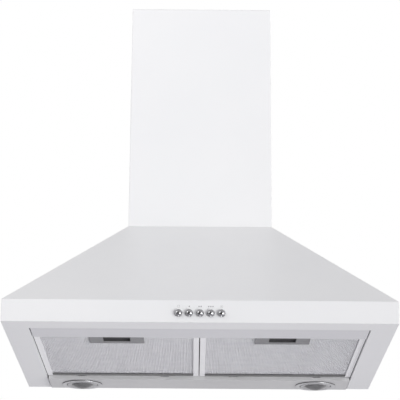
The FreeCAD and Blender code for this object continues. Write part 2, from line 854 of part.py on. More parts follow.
def mesh_face(x, y, z, notch, columns, rows_count):
    """A flat face of diamond openings between crossing strands, notched at its front edge.
    Each opening keeps one strand away from the outline and from the notch."""
    strand = mesh_strand.value
    margin = (filter_groove - mesh_play).value
    corners = [
        (x[0], y[0]), (notch[0], y[0]), (notch[0], notch[2]), (notch[1], notch[2]),
        (notch[1], y[0]), (x[1], y[0]), (x[1], y[1]), (x[0], y[1]),
    ]
    points = [FreeCAD.Vector(across, along, z) for across, along in corners]
    wires = [Part.makePolygon(points + points[:1])]
    step_x = (x[1] - x[0] - 2 * margin) / columns
    step_y = (y[1] - y[0] - 2 * margin) / rows_count
    half_x = step_x / 2 - strand / 2
    half_y = step_y / 2 - strand / 2
    for column in range(columns):
        middle_x = x[0] + margin + step_x * (column + 0.5)
        beside = middle_x + half_x + strand < notch[0] or middle_x - half_x - strand > notch[1]
        for row in range(rows_count):
            middle_y = y[0] + margin + step_y * (row + 0.5)
            if not beside and middle_y - half_y - strand < notch[2]:
                continue
            diamond = [(-half_x, 0), (0, -half_y), (half_x, 0), (0, half_y)]
            ring = [FreeCAD.Vector(middle_x + dx, middle_y + dy, z) for dx, dy in diamond]
            wires.append(Part.makePolygon(ring + ring[:1]))
    return Part.makeFace(wires, "Part::FaceMakerBullseye")


def filter_mesh(side, word, layer, low_z, columns, rows_count):
    """A sheet of expanded aluminium held in the frame's groove, notched round the handle."""
    deep = filter_border - filter_groove + mesh_play
    x_pair = mirrored((filter_inner_x + deep, filter_outer_x - deep), side)
    x = [number.value for number in x_pair]
    y = [(filter_front_y + deep).value, (filter_rear_y - deep).value]
    notch_x = handle_pair(side, mesh_play * 2)
    notch = [number.value for number in (*notch_x, handle_rear_y() + mesh_play * 2)]
    face = mesh_face(x, y, low_z.value, notch, columns, rows_count)
    item = doc.addObject("Part::Feature", f"filter_{layer}_{word}")
    item.Shape = face.extrude(FreeCAD.Vector(0, 0, mesh_thickness.value))
    return part(f"filter_{layer}_{word}", item)


def handle(side, word):
    """The moulded grip at the filter's front edge: a finger recess and the latch's channel."""
    middle = filter_middle_x * side
    x = handle_pair(side, 0)
    y = (filter_front_y + seat_gap, handle_rear_y())
    z = (filter_z - handle_proud, filter_z + filter_height - handle_web - seat_gap)
    blank = box(f"handle_blank_{word}", x, y, z)
    latch_z = latch_low_z()
    half = latch_width / 2 + running_play
    tools = [
        box(f"handle_recess_{word}", (middle - recess_width / 2, middle + recess_width / 2),
            (y[0] + recess_rim, y[0] + recess_rim + recess_depth), (z[0] - 1, latch_z)),
        box(f"handle_channel_{word}", (middle - half, middle + half),
            (y[0] - 1, handle_rear_y() - recess_rim),
            (latch_z - running_play, latch_z + latch_height + running_play)),
    ]
    shell = cut(f"handle_shell_{word}", blank, *tools)
    pegs = [
        rod(f"handle_peg_{word}_{number}", "z", peg_radius, spot, z[1] - 1,
            filter_z + filter_height + seat_gap)
        for number, spot in enumerate(peg_spots(side))
    ]
    return part(f"filter_handle_{word}", fuse(f"filter_handle_{word}", shell, *pegs))


def latch_rear_y():
    """The slider's rear end, which leaves room for its travel and the squeezed spring."""
    return handle_rear_y() - recess_rim - latch_travel - spring_room


def latch(side, word):
    """The sliding latch: a tongue into the front strip and a pull in the finger recess."""
    middle = filter_middle_x * side
    latch_z = latch_low_z()
    plate = box(f"latch_plate_{word}", (middle - latch_width / 2, middle + latch_width / 2),
                (strip_rear_y - steel - latch_reach, latch_rear_y()), (latch_z, latch_z + latch_height))
    pull_y = filter_front_y + seat_gap + recess_rim + latch_play * 2
    pull = box(f"latch_pull_{word}", (middle - pull_width / 2, middle + pull_width / 2),
               (pull_y, pull_y + pull_depth), (filter_z, latch_z))
    return part(f"filter_latch_{word}", fuse(f"filter_latch_{word}", plate, pull))


def coil(name, start, reach, turns, radius, wire):
    """A round wire wound along +Y from the start point."""
    helix = Part.makeLongHelix((reach - 2 * wire) / turns, reach - 2 * wire, radius)
    ring = Part.Circle(FreeCAD.Vector(radius, 0, 0), FreeCAD.Vector(0, 1, 0), wire)
    profile = Part.Wire([ring.toShape()])
    solid = Part.Wire(helix.Edges).makePipeShell([profile], True, True)
    item = doc.addObject("Part::Feature", name)
    item.Shape = solid
    turn = FreeCAD.Rotation(FreeCAD.Vector(1, 0, 0), -90)
    item.Placement = FreeCAD.Placement(start + FreeCAD.Vector(0, wire, 0), turn)
    return item


def latch_spring(side, word):
    """Two small springs behind the slider, in the latch's channel."""
    middle = (filter_middle_x * side).value
    low_y = latch_rear_y().value
    reach = (handle_rear_y() - recess_rim).value - low_y
    level = latch_low_z().value + latch_height.value / 2
    wire = spring_wire.value / 2
    radius = latch_height.value / 2 - wire
    found = [
        coil(f"latch_coil_{word}_{way}",
             FreeCAD.Vector(middle + way * latch_width.value / 4, low_y, level), reach, 8, radius, wire)
        for way in (-1, 1)
    ]
    return part(f"filter_latch_springs_{word}", group(f"filter_latch_springs_{word}", found))


def grease_filter(side, word):
    filter_frame(side, word)
    low = filter_z + filter_web + mesh_play / 2
    high = filter_z + filter_height - filter_web - mesh_play / 2 - mesh_thickness
    filter_mesh(side, word, "lower_mesh", low, MESH_COLUMNS, MESH_ROWS)
    filter_mesh(side, word, "core_mesh", (low + high) / 2, MESH_COLUMNS // 2, MESH_ROWS // 2)
    filter_mesh(side, word, "upper_mesh", high, MESH_COLUMNS, MESH_ROWS)
    handle(side, word)
    latch(side, word)
    latch_spring(side, word)


# ---------------------------------------------------------------- lamp panel


def lamp_panel():
    """The folded tray at the rear that holds both lamps and takes the filters' tongues."""
    y = (panel_front_y - steel / 2, panel_rear_y)
    blank = box("panel_blank", (-panel_x, panel_x), y, (panel_z, rim_z + panel_top))
    inside = box("panel_inside", (-panel_x + steel, panel_x - steel), (y[0] + steel, y[1] - steel),
                 (panel_z + steel, rim_z + panel_top + 1))
    tools = [inside]
    for side in (-1, 1):
        tools.append(rod(f"panel_lamp_{side}", "z", lamp_hole, (lamp_x * side, lamp_y),
                         panel_z - 1, rim_z))
        for number, pair in enumerate(tongue_pairs(side)):
            tools.append(box(f"panel_slot_{side}_{number}", (pair[0] - slot_play, pair[1] + slot_play),
                             (y[0] - 1, y[0] + steel + 1),
                             (pivot_z - slot_height / 2, pivot_z + slot_height / 2)))
    tools += holes("panel_hole", panel_screw_spots, y[1] - steel - 1, y[1] + 1)
    return part("lamp_panel", cut("lamp_panel", blank, *tools))


def panel_brackets():
    """Two angle brackets from the back plate down to the panel's rear wall."""
    found = []
    foot_z = rim_z + back_hem + seat_gap
    arm_z = foot_z + steel
    for side in (-1, 1):
        x = (panel_bracket_place * side - panel_bracket_width / 2,
             panel_bracket_place * side + panel_bracket_width / 2)
        folded = fuse(
            f"panel_bracket_folded_{side}",
            box(f"panel_bracket_foot_{side}", x, (-steel * 2, -steel),
                (foot_z, foot_z + panel_bracket_width)),
            box(f"panel_bracket_arm_{side}", x, (panel_rear_y, -steel), (foot_z, arm_z)),
            box(f"panel_bracket_leg_{side}", x, (panel_rear_y, panel_rear_y + steel), (rim_z, arm_z)),
        )
        hole = screw_hole(f"panel_bracket_hole_{side}", "y",
                          (panel_bracket_place * side, rim_z + panel_top / 2),
                          panel_rear_y - 1, panel_rear_y + steel + 1)
        found.append(cut(f"panel_bracket_{side}", folded, hole))
    return part("lamp_panel_brackets", group("lamp_panel_brackets", found))


def lamps():
    """Round downlights: bezel, domed lens, reflector cup, capsule bulb and holder."""
    neck_top = panel_z + steel + bezel_neck
    lens_low = panel_z - bezel_thickness
    lens_top = panel_z + steel
    cup_top = neck_top + cup_height
    neck = lamp_hole - seat_gap
    rings, lenses, cups, bulbs, holders = [], [], [], [], []
    for side in (-1, 1):
        spot = (lamp_x * side, lamp_y)
        body = fuse(f"bezel_body_{side}",
                    rod(f"bezel_flange_{side}", "z", bezel_radius, spot, lens_low, panel_z),
                    rod(f"bezel_neck_{side}", "z", neck, spot, panel_z, neck_top))
        bore = rod(f"bezel_bore_{side}", "z", lens_radius + seat_gap, spot,
                   lens_low - 1, neck_top + 1)
        rings.append(cut(f"bezel_{side}", body, bore))
        lenses.append(turned(f"lens_{side}", "z", spot, [
            (0, lens_low - lens_bulge), (lens_dome, lens_low), (lens_radius, lens_low),
            (lens_radius, lens_top), (0, lens_top),
        ], 0))
        cup = rod(f"cup_body_{side}", "z", neck, spot, neck_top, cup_top)
        hollow = rod(f"cup_hollow_{side}", "z", neck - steel, spot, neck_top - 1, cup_top - steel)
        pins = rod(f"cup_hole_{side}", "z", bulb_radius, spot, cup_top - steel - 1, cup_top + 1)
        cups.append(cut(f"cup_{side}", cup, hollow, pins))
        holders.append(rod(f"holder_{side}", "z", holder_radius, spot, cup_top, cup_top + holder_height))
        bulb_low = neck_top + bulb_radius
        stem = rod(f"bulb_stem_{side}", "z", bulb_radius - seat_gap, spot, bulb_low, cup_top)
        tip = ball(f"bulb_tip_{side}", bulb_radius - seat_gap, *spot, bulb_low)
        bulbs.append(fuse(f"bulb_{side}", stem, tip))
    part("lamp_bezels", group("lamp_bezels", rings))
    part("lamp_lenses", group("lamp_lenses", lenses))
    part("lamp_cups", group("lamp_cups", cups))
    part("lamp_bulbs", group("lamp_bulbs", bulbs))
    part("lamp_holders", group("lamp_holders", holders))


# ---------------------------------------------------------------- controls


def button_x(number):
    return button_pitch * (number - (BUTTONS - 1) / 2)


def push_buttons():
    """Five domed caps on stems that slide in the switch block."""
    cap_rear_y = front_y + button_depth
    tip_y = front_y - button_proud
    for number in range(BUTTONS):
        spot = (button_x(number), button_z)
        profile = [
            (0, tip_y), (button_radius, tip_y + button_dome), (button_radius, cap_rear_y),
            (stem_radius, cap_rear_y), (stem_radius, cap_rear_y + stem_length),
            (0, cap_rear_y + stem_length),
        ]
        part(f"button_{number + 1}", turned(f"button_{number + 1}", "y", spot, profile, 0))


def button_springs():
    low_y = (front_y + button_depth).value
    wire = spring_wire.value / 2
    found = [
        coil(f"button_coil_{number}", FreeCAD.Vector(button_x(number).value, low_y, button_z.value),
             button_spring_gap.value, 4, spring_radius.value - wire, wire)
        for number in range(BUTTONS)
    ]
    return part("button_springs", group("button_springs", found))


def switch_block():
    """The five-way switch block behind the band, with its row of terminals."""
    y = (block_front_y, block_front_y + block_depth)
    z = (rim_z + steel * 2, rim_z + steel * 2 + block_height)
    body = box("block_body", (-block_half, block_half), y, z)
    tools = [
        rod(f"block_bore_{number}", "y", stem_radius + running_play, (button_x(number), button_z),
            y[0] - 1, y[1] - steel)
        for number in range(BUTTONS)
    ]
    tools += side_holes("block_screw", [
        (axis, centre, seat, way) for axis, centre, seat, way in switch_screw_spots
    ], screw_length + 1)
    terminals = [
        box(f"terminal_{number}", (button_x(number) - stem_radius, button_x(number) + stem_radius),
            (y[1] - terminal_height, y[1] - terminal_height + 1), (z[1], z[1] + terminal_height))
        for number in range(BUTTONS)
    ]
    bored = cut("block_bored", body, *tools)
    return part("switch_block", fuse("switch_block", bored, *terminals))


def switch_bracket():
    """The U-shaped bracket that holds the switch block on the front flange."""
    y = (block_front_y, block_front_y + block_depth)
    low_z = rim_z + steel
    ears = [
        box(f"switch_ear_{side}", mirrored((block_half, block_half + steel), side), y,
            (low_z, low_z + block_height * 0.6))
        for side in (-1, 1)
    ]
    base = box("switch_base", (-block_half - steel, block_half + steel), y, (low_z, low_z + steel))
    folded = fuse("switch_folded", base, *ears)
    ear_holes = side_holes("ear_hole", switch_screw_spots, 4)
    return part("switch_bracket", cut("switch_bracket", folded, *ear_holes))


# ---------------------------------------------------------------- blower


def scroll_outline(extra):
    """The scroll's outline seen along x: down from the neck's rear, round and up again."""
    points = [(neck_rear_y + extra, plate_z)]
    points += [spiral(travel, extra) for travel in range(0, 261, 20)]
    points += [(neck_front_y - extra, spiral(280, 0)[1]), (neck_front_y - extra, plate_z)]
    return points


def scroll(side, word):
    """Half of the blower housing, with its inlet, seam flange and adaptor plate."""
    outside = prism(f"scroll_outside_{word}", "x", scroll_outline(scroll_wall),
                    *mirrored((0, scroll_half), side))
    seam = prism(f"scroll_seam_{word}", "x", scroll_outline(scroll_wall + seam_width),
                 *mirrored((0, scroll_wall), side))
    adaptor = box(f"scroll_adaptor_{word}", mirrored((0, adaptor_half), side),
                  (duct_y - adaptor_half, duct_y + adaptor_half), (plate_z - adaptor_thickness, plate_z))
    inner_points = scroll_outline(0)
    inner_points[0] = (neck_rear_y, plate_z + 1)
    inner_points[-1] = (neck_front_y, plate_z + 1)
    inside = prism(f"scroll_inside_{word}", "x", inner_points,
                   *mirrored((-1, scroll_half - scroll_wall), side))
    centre = (scroll_y, scroll_z)
    inlet = rod(f"scroll_inlet_{word}", "x", inlet_radius, centre,
                *mirrored((scroll_half - scroll_wall - 1, scroll_half + 1), side))
    own = [spot for spot in guard_screw_spots if spot[3] == -side]
    tools = [inside, inlet]
    tools += side_holes(f"scroll_guard_hole_{word}", own, guard_thickness + scroll_wall + 1)
    tools += holes(f"scroll_seam_hole_{word}", seam_screw_spots, -scroll_wall - 1, scroll_wall + 1)
    tools += holes(f"scroll_duct_hole_{word}", duct_screw_spots,
                   plate_z - adaptor_thickness - 1, plate_z + 1)
    blank = fuse(f"scroll_blank_{word}", outside, seam, adaptor)
    return part(f"blower_scroll_{word}", cut(f"blower_scroll_{word}", blank, *tools))


def blower_wheel():
    """The double-inlet wheel: hub, middle disc, forward-leaning blades and end rings."""
    centre = (scroll_y, scroll_z)
    inner = wheel_radius - blade_depth
    body = doc.addObject("PartDesign::Body", "wheel_blades")
    lean = blade_depth * 0.5
    blade = draw(body, "blade_outline", "YZ_Plane", [
        (inner - 0.5, 0), (wheel_radius - 1, lean),
        (wheel_radius - 1, lean + blade_thickness), (inner - 0.5, blade_thickness),
    ])
    pad = body.newObject("PartDesign::Pad", "blade_pad")
    pad.Profile = blade
    bind(pad, "Length", wheel_half * 2)
    pad.Midplane = True
    rim = body.newObject("Sketcher::SketchObject", "wheel_disc_outline")
    plane = [item for item in body.Origin.OriginFeatures if item.Role == "YZ_Plane"][0]
    rim.AttachmentSupport = [(plane, "")]
    rim.MapMode = "FlatFace"
    circle = Part.Circle(FreeCAD.Vector(), FreeCAD.Vector(0, 0, 1), wheel_radius.value - 1)
    rim.addGeometry(circle, False)
    rim.addConstraint(Sketcher.Constraint("Coincident", 0, 3, -1, 1))
    row = rim.addConstraint(Sketcher.Constraint("Radius", 0, wheel_radius.value - 1))
    rim.setExpression(f"Constraints[{row}]", (wheel_radius - 1).formula)
    disc = body.newObject("PartDesign::Pad", "wheel_disc_pad")
    disc.Profile = rim
    bind(disc, "Length", scroll_wall)
    disc.Midplane = True
    doc.recompute()
    pattern = body.newObject("PartDesign::PolarPattern", "blade_pattern")
    pattern.Originals = [pad]
    pattern.Axis = ([item for item in body.Origin.OriginFeatures if item.Role == "X_Axis"][0], [""])
    pattern.Angle = 360
    bind(pattern, "Occurrences", blade_count)
    body.Tip = pattern
    place(body, 0, scroll_y, scroll_z)
    rings = [
        tube(f"wheel_ring_{side}", "x", wheel_radius, inner, centre,
             *mirrored((wheel_half - blade_thickness * 2, wheel_half), side))
        for side in (-1, 1)
    ]
    hub = rod("wheel_hub", "x", hub_radius, centre, motor_right_x + 2, -motor_right_x)
    bore = rod("wheel_bore", "x", shaft_radius + press_gap, centre, -wheel_half, wheel_half)
    return part("blower_wheel", cut("blower_wheel", fuse("wheel_blank", body, hub, *rings), bore))


def motor():
    """The motor inside the left inlet: can, end cap, core, rotor, shaft and bearings."""
    centre = (scroll_y, scroll_z)
    inner = motor_radius - motor_wall
    snug = screw_play / 2
    seat = bearing_radius + snug
    boss = bearing_radius + 4
    neck = shaft_radius + 1
    cap_x = motor_left_x + cap_thickness
    right_lip = motor_right_x - motor_wall
    can = fuse(
        "can_blank",
        cut("can_cup", rod("can_body", "x", motor_radius, centre, cap_x, motor_right_x),
            rod("can_hollow", "x", inner, centre, cap_x - 1, motor_right_x - cap_thickness)),
        rod("can_boss", "x", boss, centre, right_lip - bearing_width, motor_right_x),
    )
    part("motor_can", cut(
        "motor_can", can,
        rod("can_seat", "x", seat, centre, right_lip - bearing_width - 1, right_lip),
        rod("can_neck", "x", neck, centre, right_lip - 1, motor_right_x + 1),
    ))
    cap = fuse(
        "cap_blank",
        rod("cap_disc", "x", motor_radius, centre, motor_left_x, cap_x),
        rod("cap_boss", "x", boss, centre, motor_left_x, motor_left_x + motor_wall + bearing_width),
    )
    part("motor_end_cap", cut(
        "motor_end_cap", cap,
        rod("cap_seat", "x", seat, centre, motor_left_x + motor_wall, BIG),
        rod("cap_neck", "x", neck, centre, motor_left_x - 1, motor_left_x + motor_wall + 1),
    ))
    left_bearing = motor_left_x + motor_wall
    bearings = [
        tube("bearing_left", "x", bearing_radius, shaft_radius + 0.03, centre,
             left_bearing, left_bearing + bearing_width),
        tube("bearing_right", "x", bearing_radius, shaft_radius + 0.03, centre,
             right_lip - bearing_width, right_lip),
    ]
    part("motor_bearings", group("motor_bearings", bearings))
    core_x = (motor_left_x + motor_right_x - core_length) / 2
    part("motor_core", tube("motor_core", "x", inner - snug, rotor_radius + air_gap, centre,
                            core_x, core_x + core_length))
    part("motor_rotor", tube("motor_rotor", "x", rotor_radius, shaft_radius + press_gap, centre,
                             core_x, core_x + core_length))
    part("motor_shaft", rod("motor_shaft", "x", shaft_radius, centre,
                            left_bearing + seat_gap, -motor_right_x))


def arm_ring(name, side, inner, hub):
    """A ring on the outside of the scroll with three arms to a middle disc."""
    centre = (scroll_y, scroll_z)
    x = mirrored((scroll_half, scroll_half + guard_thickness), side)
    pieces = [tube(f"{name}_ring", "x", guard_radius, inner, centre, *x),
              rod(f"{name}_hub", "x", hub, centre, *x)]
    for turn in (90, 210, 330):
        arm = doc.addObject("Part::Box", f"{name}_arm_{turn}")
        bind(arm, "Length", guard_thickness)
        bind(arm, "Width", inner + 1)
        bind(arm, "Height", mount_radius * 2)
        angle = math.radians(turn)
        arm.Placement = FreeCAD.Placement(
            FreeCAD.Vector(), FreeCAD.Rotation(FreeCAD.Vector(1, 0, 0), turn))
        place(arm, x[0], scroll_y + mount_radius * math.sin(angle),
              scroll_z - mount_radius * math.cos(angle))
        pieces.append(arm)
    own = [spot for spot in guard_screw_spots if spot[3] == -side]
    ring_holes = side_holes(f"{name}_hole", own, guard_thickness + 1)
    return part(name, cut(name, fuse(f"{name}_blank", *pieces), *ring_holes))


def rubber_mounts():
    """Three rubber bushes between the motor's end cap and its three-armed carrier."""
    found = []
    for turn in (90, 210, 330):
        angle = math.radians(turn)
        spot = (scroll_y + mount_circle * math.cos(angle), scroll_z + mount_circle * math.sin(angle))
        found.append(rod(f"bush_{turn}", "x", mount_radius, spot, -scroll_half, motor_left_x))
    return part("motor_rubber_mounts", group("motor_rubber_mounts", found))


# ---------------------------------------------------------------- outlet


def outlet_spigot():
    """The round collar that the duct slips over, with its flange and the flaps' stops."""
    centre = (length(0), duct_y)
    base = deck_z - steel
    wall = tube("spigot_wall", "z", duct_radius, duct_inside, centre, base, deck_z + duct_height)
    flange = tube("spigot_flange", "z", duct_flange, duct_inside, centre, base, base + duct_flange_height)
    stop_top = flap_z - flap_thickness / 2 - seat_gap
    stop_z = (stop_top - stop_height, stop_top)
    stop_x = (-stop_half, stop_half)
    near, far = duct_inside - stop_depth, duct_inside + stop_bite
    stops = [
        box("stop_front", stop_x, (duct_y - far, duct_y - near), stop_z),
        box("stop_rear", stop_x, (duct_y + near, duct_y + far), stop_z),
    ]
    tools = [rod("spigot_pin_hole", "x", pin_radius + running_play / 2, (duct_y, flap_z),
                 -duct_radius - 1, duct_radius + 1)]
    tools += holes("spigot_hole", duct_screw_spots, base - 1, base + duct_flange_height + 1)
    blank = fuse("spigot_blank", wall, flange, *stops)
    return part("outlet_spigot", cut("outlet_spigot", blank, *tools))


def damper_flap(way, word, knuckles):
    """A half-round flap whose knuckles turn on the pin between those of the other flap."""
    half = flap_thickness / 2
    z = (flap_z - half, flap_z + half)
    reach = duct_inside - flap_play
    disc = rod(f"flap_disc_{word}", "z", reach, (0, duct_y), *z)
    near = knuckle_radius + knuckle_play
    y = sorted_pair(duct_y + near * way, duct_y + duct_radius * way)
    side = box(f"flap_side_{word}", (-duct_radius, duct_radius), y, z)
    plate = common(f"flap_plate_{word}", disc, side)
    pieces = [plate]
    for number, (low, high) in enumerate(knuckles):
        pieces.append(rod(f"knuckle_{word}_{number}", "x", knuckle_radius, (duct_y, flap_z), low, high))
        pieces.append(box(f"knuckle_web_{word}_{number}", (low, high),
                          sorted_pair(duct_y, duct_y + (near + 1) * way), z))
    bore = rod(f"flap_bore_{word}", "x", pin_radius + running_play, (duct_y, flap_z),
               -duct_radius, duct_radius)
    return part(f"damper_flap_{word}", cut(f"damper_flap_{word}", fuse(f"flap_blank_{word}", *pieces), bore))


def sorted_pair(first, second):
    return (first, second) if first.value < second.value else (second, first)


def damper():
    damper_flap(-1, "front", [(-knuckle_end, -knuckle_start), (knuckle_start, knuckle_end)])
    damper_flap(1, "rear", [(-middle_knuckle, middle_knuckle)])
    reach = duct_radius - pin_inset
    part("damper_pin", rod("damper_pin", "x", pin_radius, (duct_y, flap_z), -reach, reach))


# ---------------------------------------------------------------- electrics


def electrics():
    """The terminal box on the back plate, what is in it, its gland and the grommet."""
    x = (box_x - box_width / 2, box_x + box_width / 2)
    y = (-steel - box_depth, -steel)
    z = (rim_z + box_base, rim_z + box_base + box_height)
    inside_x = (x[0] + box_wall, x[1] - box_wall)
    inside_z = (z[0] + box_wall, z[1] - box_wall)
    gland_spot = (box_x, (y[0] + y[1]) / 2)
    neck = gland_radius - gland_step
    part("terminal_box", cut(
        "terminal_box", box("terminal_box_body", x, y, z),
        box("terminal_box_hollow", inside_x, (y[0] - 1, y[1] - box_wall), inside_z),
        rod("terminal_box_hole", "z", neck + screw_play, gland_spot, z[1] - box_wall - 1, z[1] + 1),
    ))
    part("terminal_box_lid", box("terminal_box_lid", x, (y[0] - box_wall, y[0]), z))
    low_y = y[1] - box_wall
    block_top = inside_z[0] + connector_size
    part("terminal_block", box(
        "terminal_block", (inside_x[0] + connector_inset, inside_x[1] - connector_inset),
        (low_y - connector_size, low_y), (inside_z[0], block_top),
    ))
    level = block_top + capacitor_radius + seat_gap
    part("capacitor", rod("capacitor", "x", capacitor_radius,
                          (low_y - capacitor_radius - seat_gap, level),
                          box_x - capacitor_length / 2, box_x + capacitor_length / 2))
    gland = fuse("gland_blank",
                 rod("gland_body", "z", gland_radius, gland_spot, z[1], z[1] + gland_height),
                 rod("gland_neck", "z", neck, gland_spot, z[1] - box_wall, z[1]))
    part("cable_gland", cut("cable_gland", gland,
                            rod("gland_bore", "z", gland_bore, gland_spot, z[1] - BIG, z[1] + BIG)))
    spot = (grommet_x, grommet_y)
    rubber = fuse("grommet_blank",
                  rod("grommet_low", "z", grommet_radius, spot, plate_z - grommet_lip, plate_z),
                  rod("grommet_neck", "z", grommet_radius - grommet_lip - screw_play, spot,
                      plate_z, plate_z + steel),
                  rod("grommet_high", "z", grommet_radius, spot,
                      plate_z + steel, plate_z + steel + grommet_lip))
    part("cable_grommet", cut("cable_grommet", rubber,
                              rod("grommet_hole", "z", grommet_bore, spot, plate_z - BIG, plate_z + BIG)))


# ---------------------------------------------------------------- assembly

canopy_shell()
canopy_back_plate()
canopy_top_plate()
chimney_lower()
chimney_upper()
ceiling_bracket()
bracket_screws()
front_strip()
for side_way, side_word in ((-1, "left"), (1, "right")):
    grease_filter(side_way, side_word)
    scroll(side_way, side_word)
lamp_panel()
panel_brackets()
lamps()
push_buttons()
button_springs()
switch_block()
switch_bracket()
blower_wheel()
motor()
arm_ring("motor_carrier", -1, inlet_radius, mount_circle + mount_radius)
arm_ring("inlet_guard", 1, inlet_radius, hub_radius)
rubber_mounts()
outlet_spigot()
damper()
electrics()
all_screws = [
    screw(f"screw_{number}", axis, centre, seat, way)
    for number, (axis, centre, seat, way) in enumerate(screw_spots, 1)
]
part("machine_screws", group("machine_screws", all_screws))

# ---------------------------------------------------------------- checks and files

doc.recompute()
for item in doc.Objects:
    if "Invalid" in item.State or "Error" in item.State:
        raise RuntimeError(f"{item.Label} is {item.State}")
os.makedirs("parts", exist_ok=True)
for item in parts:
    shape = item.Shape
    if shape.isNull() or not shape.isValid() or not shape.Solids:
        raise RuntimeError(f"{item.Label} has no sound shape")
    shape.exportStep(f"parts/{item.Label}.step")
    low, high = shape.BoundBox, shape.Volume
    print(f"{item.Label}: {len(shape.Solids)} solid(s), {high:.0f} mm3, x {low.XMin:.1f}..{low.XMax:.1f}, "
          f"y {low.YMin:.1f}..{low.YMax:.1f}, z {low.ZMin:.1f}..{low.ZMax:.1f}")
print(len(parts), "pieces")
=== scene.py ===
# %% [markdown]
# # A chimney range hood, dressed over its frame
#
# The hood hangs on a wall over a cooker. A painted steel canopy collects the air, two
# aluminium grease filters clean it, and a blower pushes it up a chimney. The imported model
# already holds every solid at its true place, in metres, so this lesson only adds what the
# eye sees: finishes, fine wire mesh, printed dots, light and a camera. The origin is on the
# wall, halfway between the two fixing holes, +Z is up and the room is on the -Y side.

# %% Load the frame
import json
import math

import bmesh
import bpy
from mathutils import Matrix, Vector


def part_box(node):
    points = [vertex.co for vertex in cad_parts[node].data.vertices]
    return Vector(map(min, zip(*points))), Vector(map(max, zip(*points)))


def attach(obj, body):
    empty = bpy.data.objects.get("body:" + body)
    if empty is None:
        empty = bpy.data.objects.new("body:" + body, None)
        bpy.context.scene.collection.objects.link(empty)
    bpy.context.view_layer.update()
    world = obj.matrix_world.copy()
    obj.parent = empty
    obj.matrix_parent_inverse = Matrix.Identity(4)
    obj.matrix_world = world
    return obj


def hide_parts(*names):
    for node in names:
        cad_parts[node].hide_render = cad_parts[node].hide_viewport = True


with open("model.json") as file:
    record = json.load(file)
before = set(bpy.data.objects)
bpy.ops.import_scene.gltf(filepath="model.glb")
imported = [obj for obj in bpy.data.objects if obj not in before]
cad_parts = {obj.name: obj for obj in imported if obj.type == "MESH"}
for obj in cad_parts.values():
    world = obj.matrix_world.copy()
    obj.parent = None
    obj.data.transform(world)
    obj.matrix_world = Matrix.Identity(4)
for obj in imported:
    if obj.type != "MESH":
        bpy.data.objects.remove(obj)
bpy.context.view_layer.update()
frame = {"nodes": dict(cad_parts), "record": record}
print("solids in the frame:", len(frame["nodes"]))

# %% [markdown]
# ## The camera
#
# The view is from low in front, looking up at about 18 degrees, as somebody who stands a
# few paces back from a cooker sees a hood. A long lens keeps the chimney's sides nearly
# parallel. The camera could be aimed with a Track To constraint, but three angles make a
# plain rotation that stays the same on every run, so its axes are written out here.

# %% Place the camera
camera_spot = Vector((-0.00715, -2.99453, -0.80691))
turn_left = 0.0023637
look_up = 0.313807
tip_over = 0.0066616
lens_length = 154.52
film_width = 36
see_far = 50

ahead = Vector((
    math.sin(turn_left) * math.cos(look_up),
    math.cos(turn_left) * math.cos(look_up),
    math.sin(look_up),
))
level_right = Vector((math.cos(turn_left), -math.sin(turn_left), 0))
level_up = level_right.cross(ahead)
view_right = math.cos(tip_over) * level_right + math.sin(tip_over) * level_up
view_up = -math.sin(tip_over) * level_right + math.cos(tip_over) * level_up

camera_data = bpy.data.cameras.new("room_camera")
camera_data.lens = lens_length
camera_data.sensor_width = film_width
camera_data.clip_end = see_far
camera = bpy.data.objects.new("room_camera", camera_data)
axes = Matrix((view_right, view_up, -ahead)).transposed()
camera.matrix_world = Matrix.Translation(camera_spot) @ axes.to_4x4()
bpy.context.scene.collection.objects.link(camera)
bpy.context.scene.camera = camera
print("camera looks up by", round(math.degrees(look_up), 1), "degrees")

# %% [markdown]
# ## Studio light
#
# The hood was lit for a catalogue: the paper behind it is white, and soft steps of grey
# tell the faces apart. The room in front is brighter than the ceiling, so the upright faces
# look whiter than the pyramid. The paper behind shows again as a mirror image in the bare
# metal underneath. The photographer's corner, to the left of the camera, is dark: polished
# metal mirrors it, which is why chrome looks black and white in a white room. An image of a
# studio could light the world, but four tones that blend into each other need no file. The
# camera itself sees only plain white paper.

# %% Build the room's own light
scene = bpy.context.scene
scene.view_settings.view_transform = "Standard"
ceiling_light = 0.65
room_light = 1.2
paper_light = 0.58
dark_corner = 0.08
dark_way = Vector((-0.35, -0.9, -0.3))
corner_wide = 0.35
corner_narrow = 0.9
horizon, high_up = -0.1, 0.65
paper_starts, paper_full = -0.2, 0.5
cool_white = (1.0, 0.993, 1.012, 1)
pure_white = (1, 1, 1, 1)

studio = bpy.data.worlds.new("studio")
studio.use_nodes = True
scene.world = studio
sky_nodes = studio.node_tree.nodes
sky_links = studio.node_tree.links
sky_nodes.clear()


def sky_range(value, low, high, to_low, to_high):
    """The value, moved smoothly from one range to another."""
    spread = sky_nodes.new("ShaderNodeMapRange")
    spread.interpolation_type = "SMOOTHSTEP"
    ends = {"From Min": low, "From Max": high, "To Min": to_low, "To Max": to_high}
    for socket, end in ends.items():
        spread.inputs[socket].default_value = end
    sky_links.new(value, spread.inputs["Value"])
    return spread.outputs["Result"]


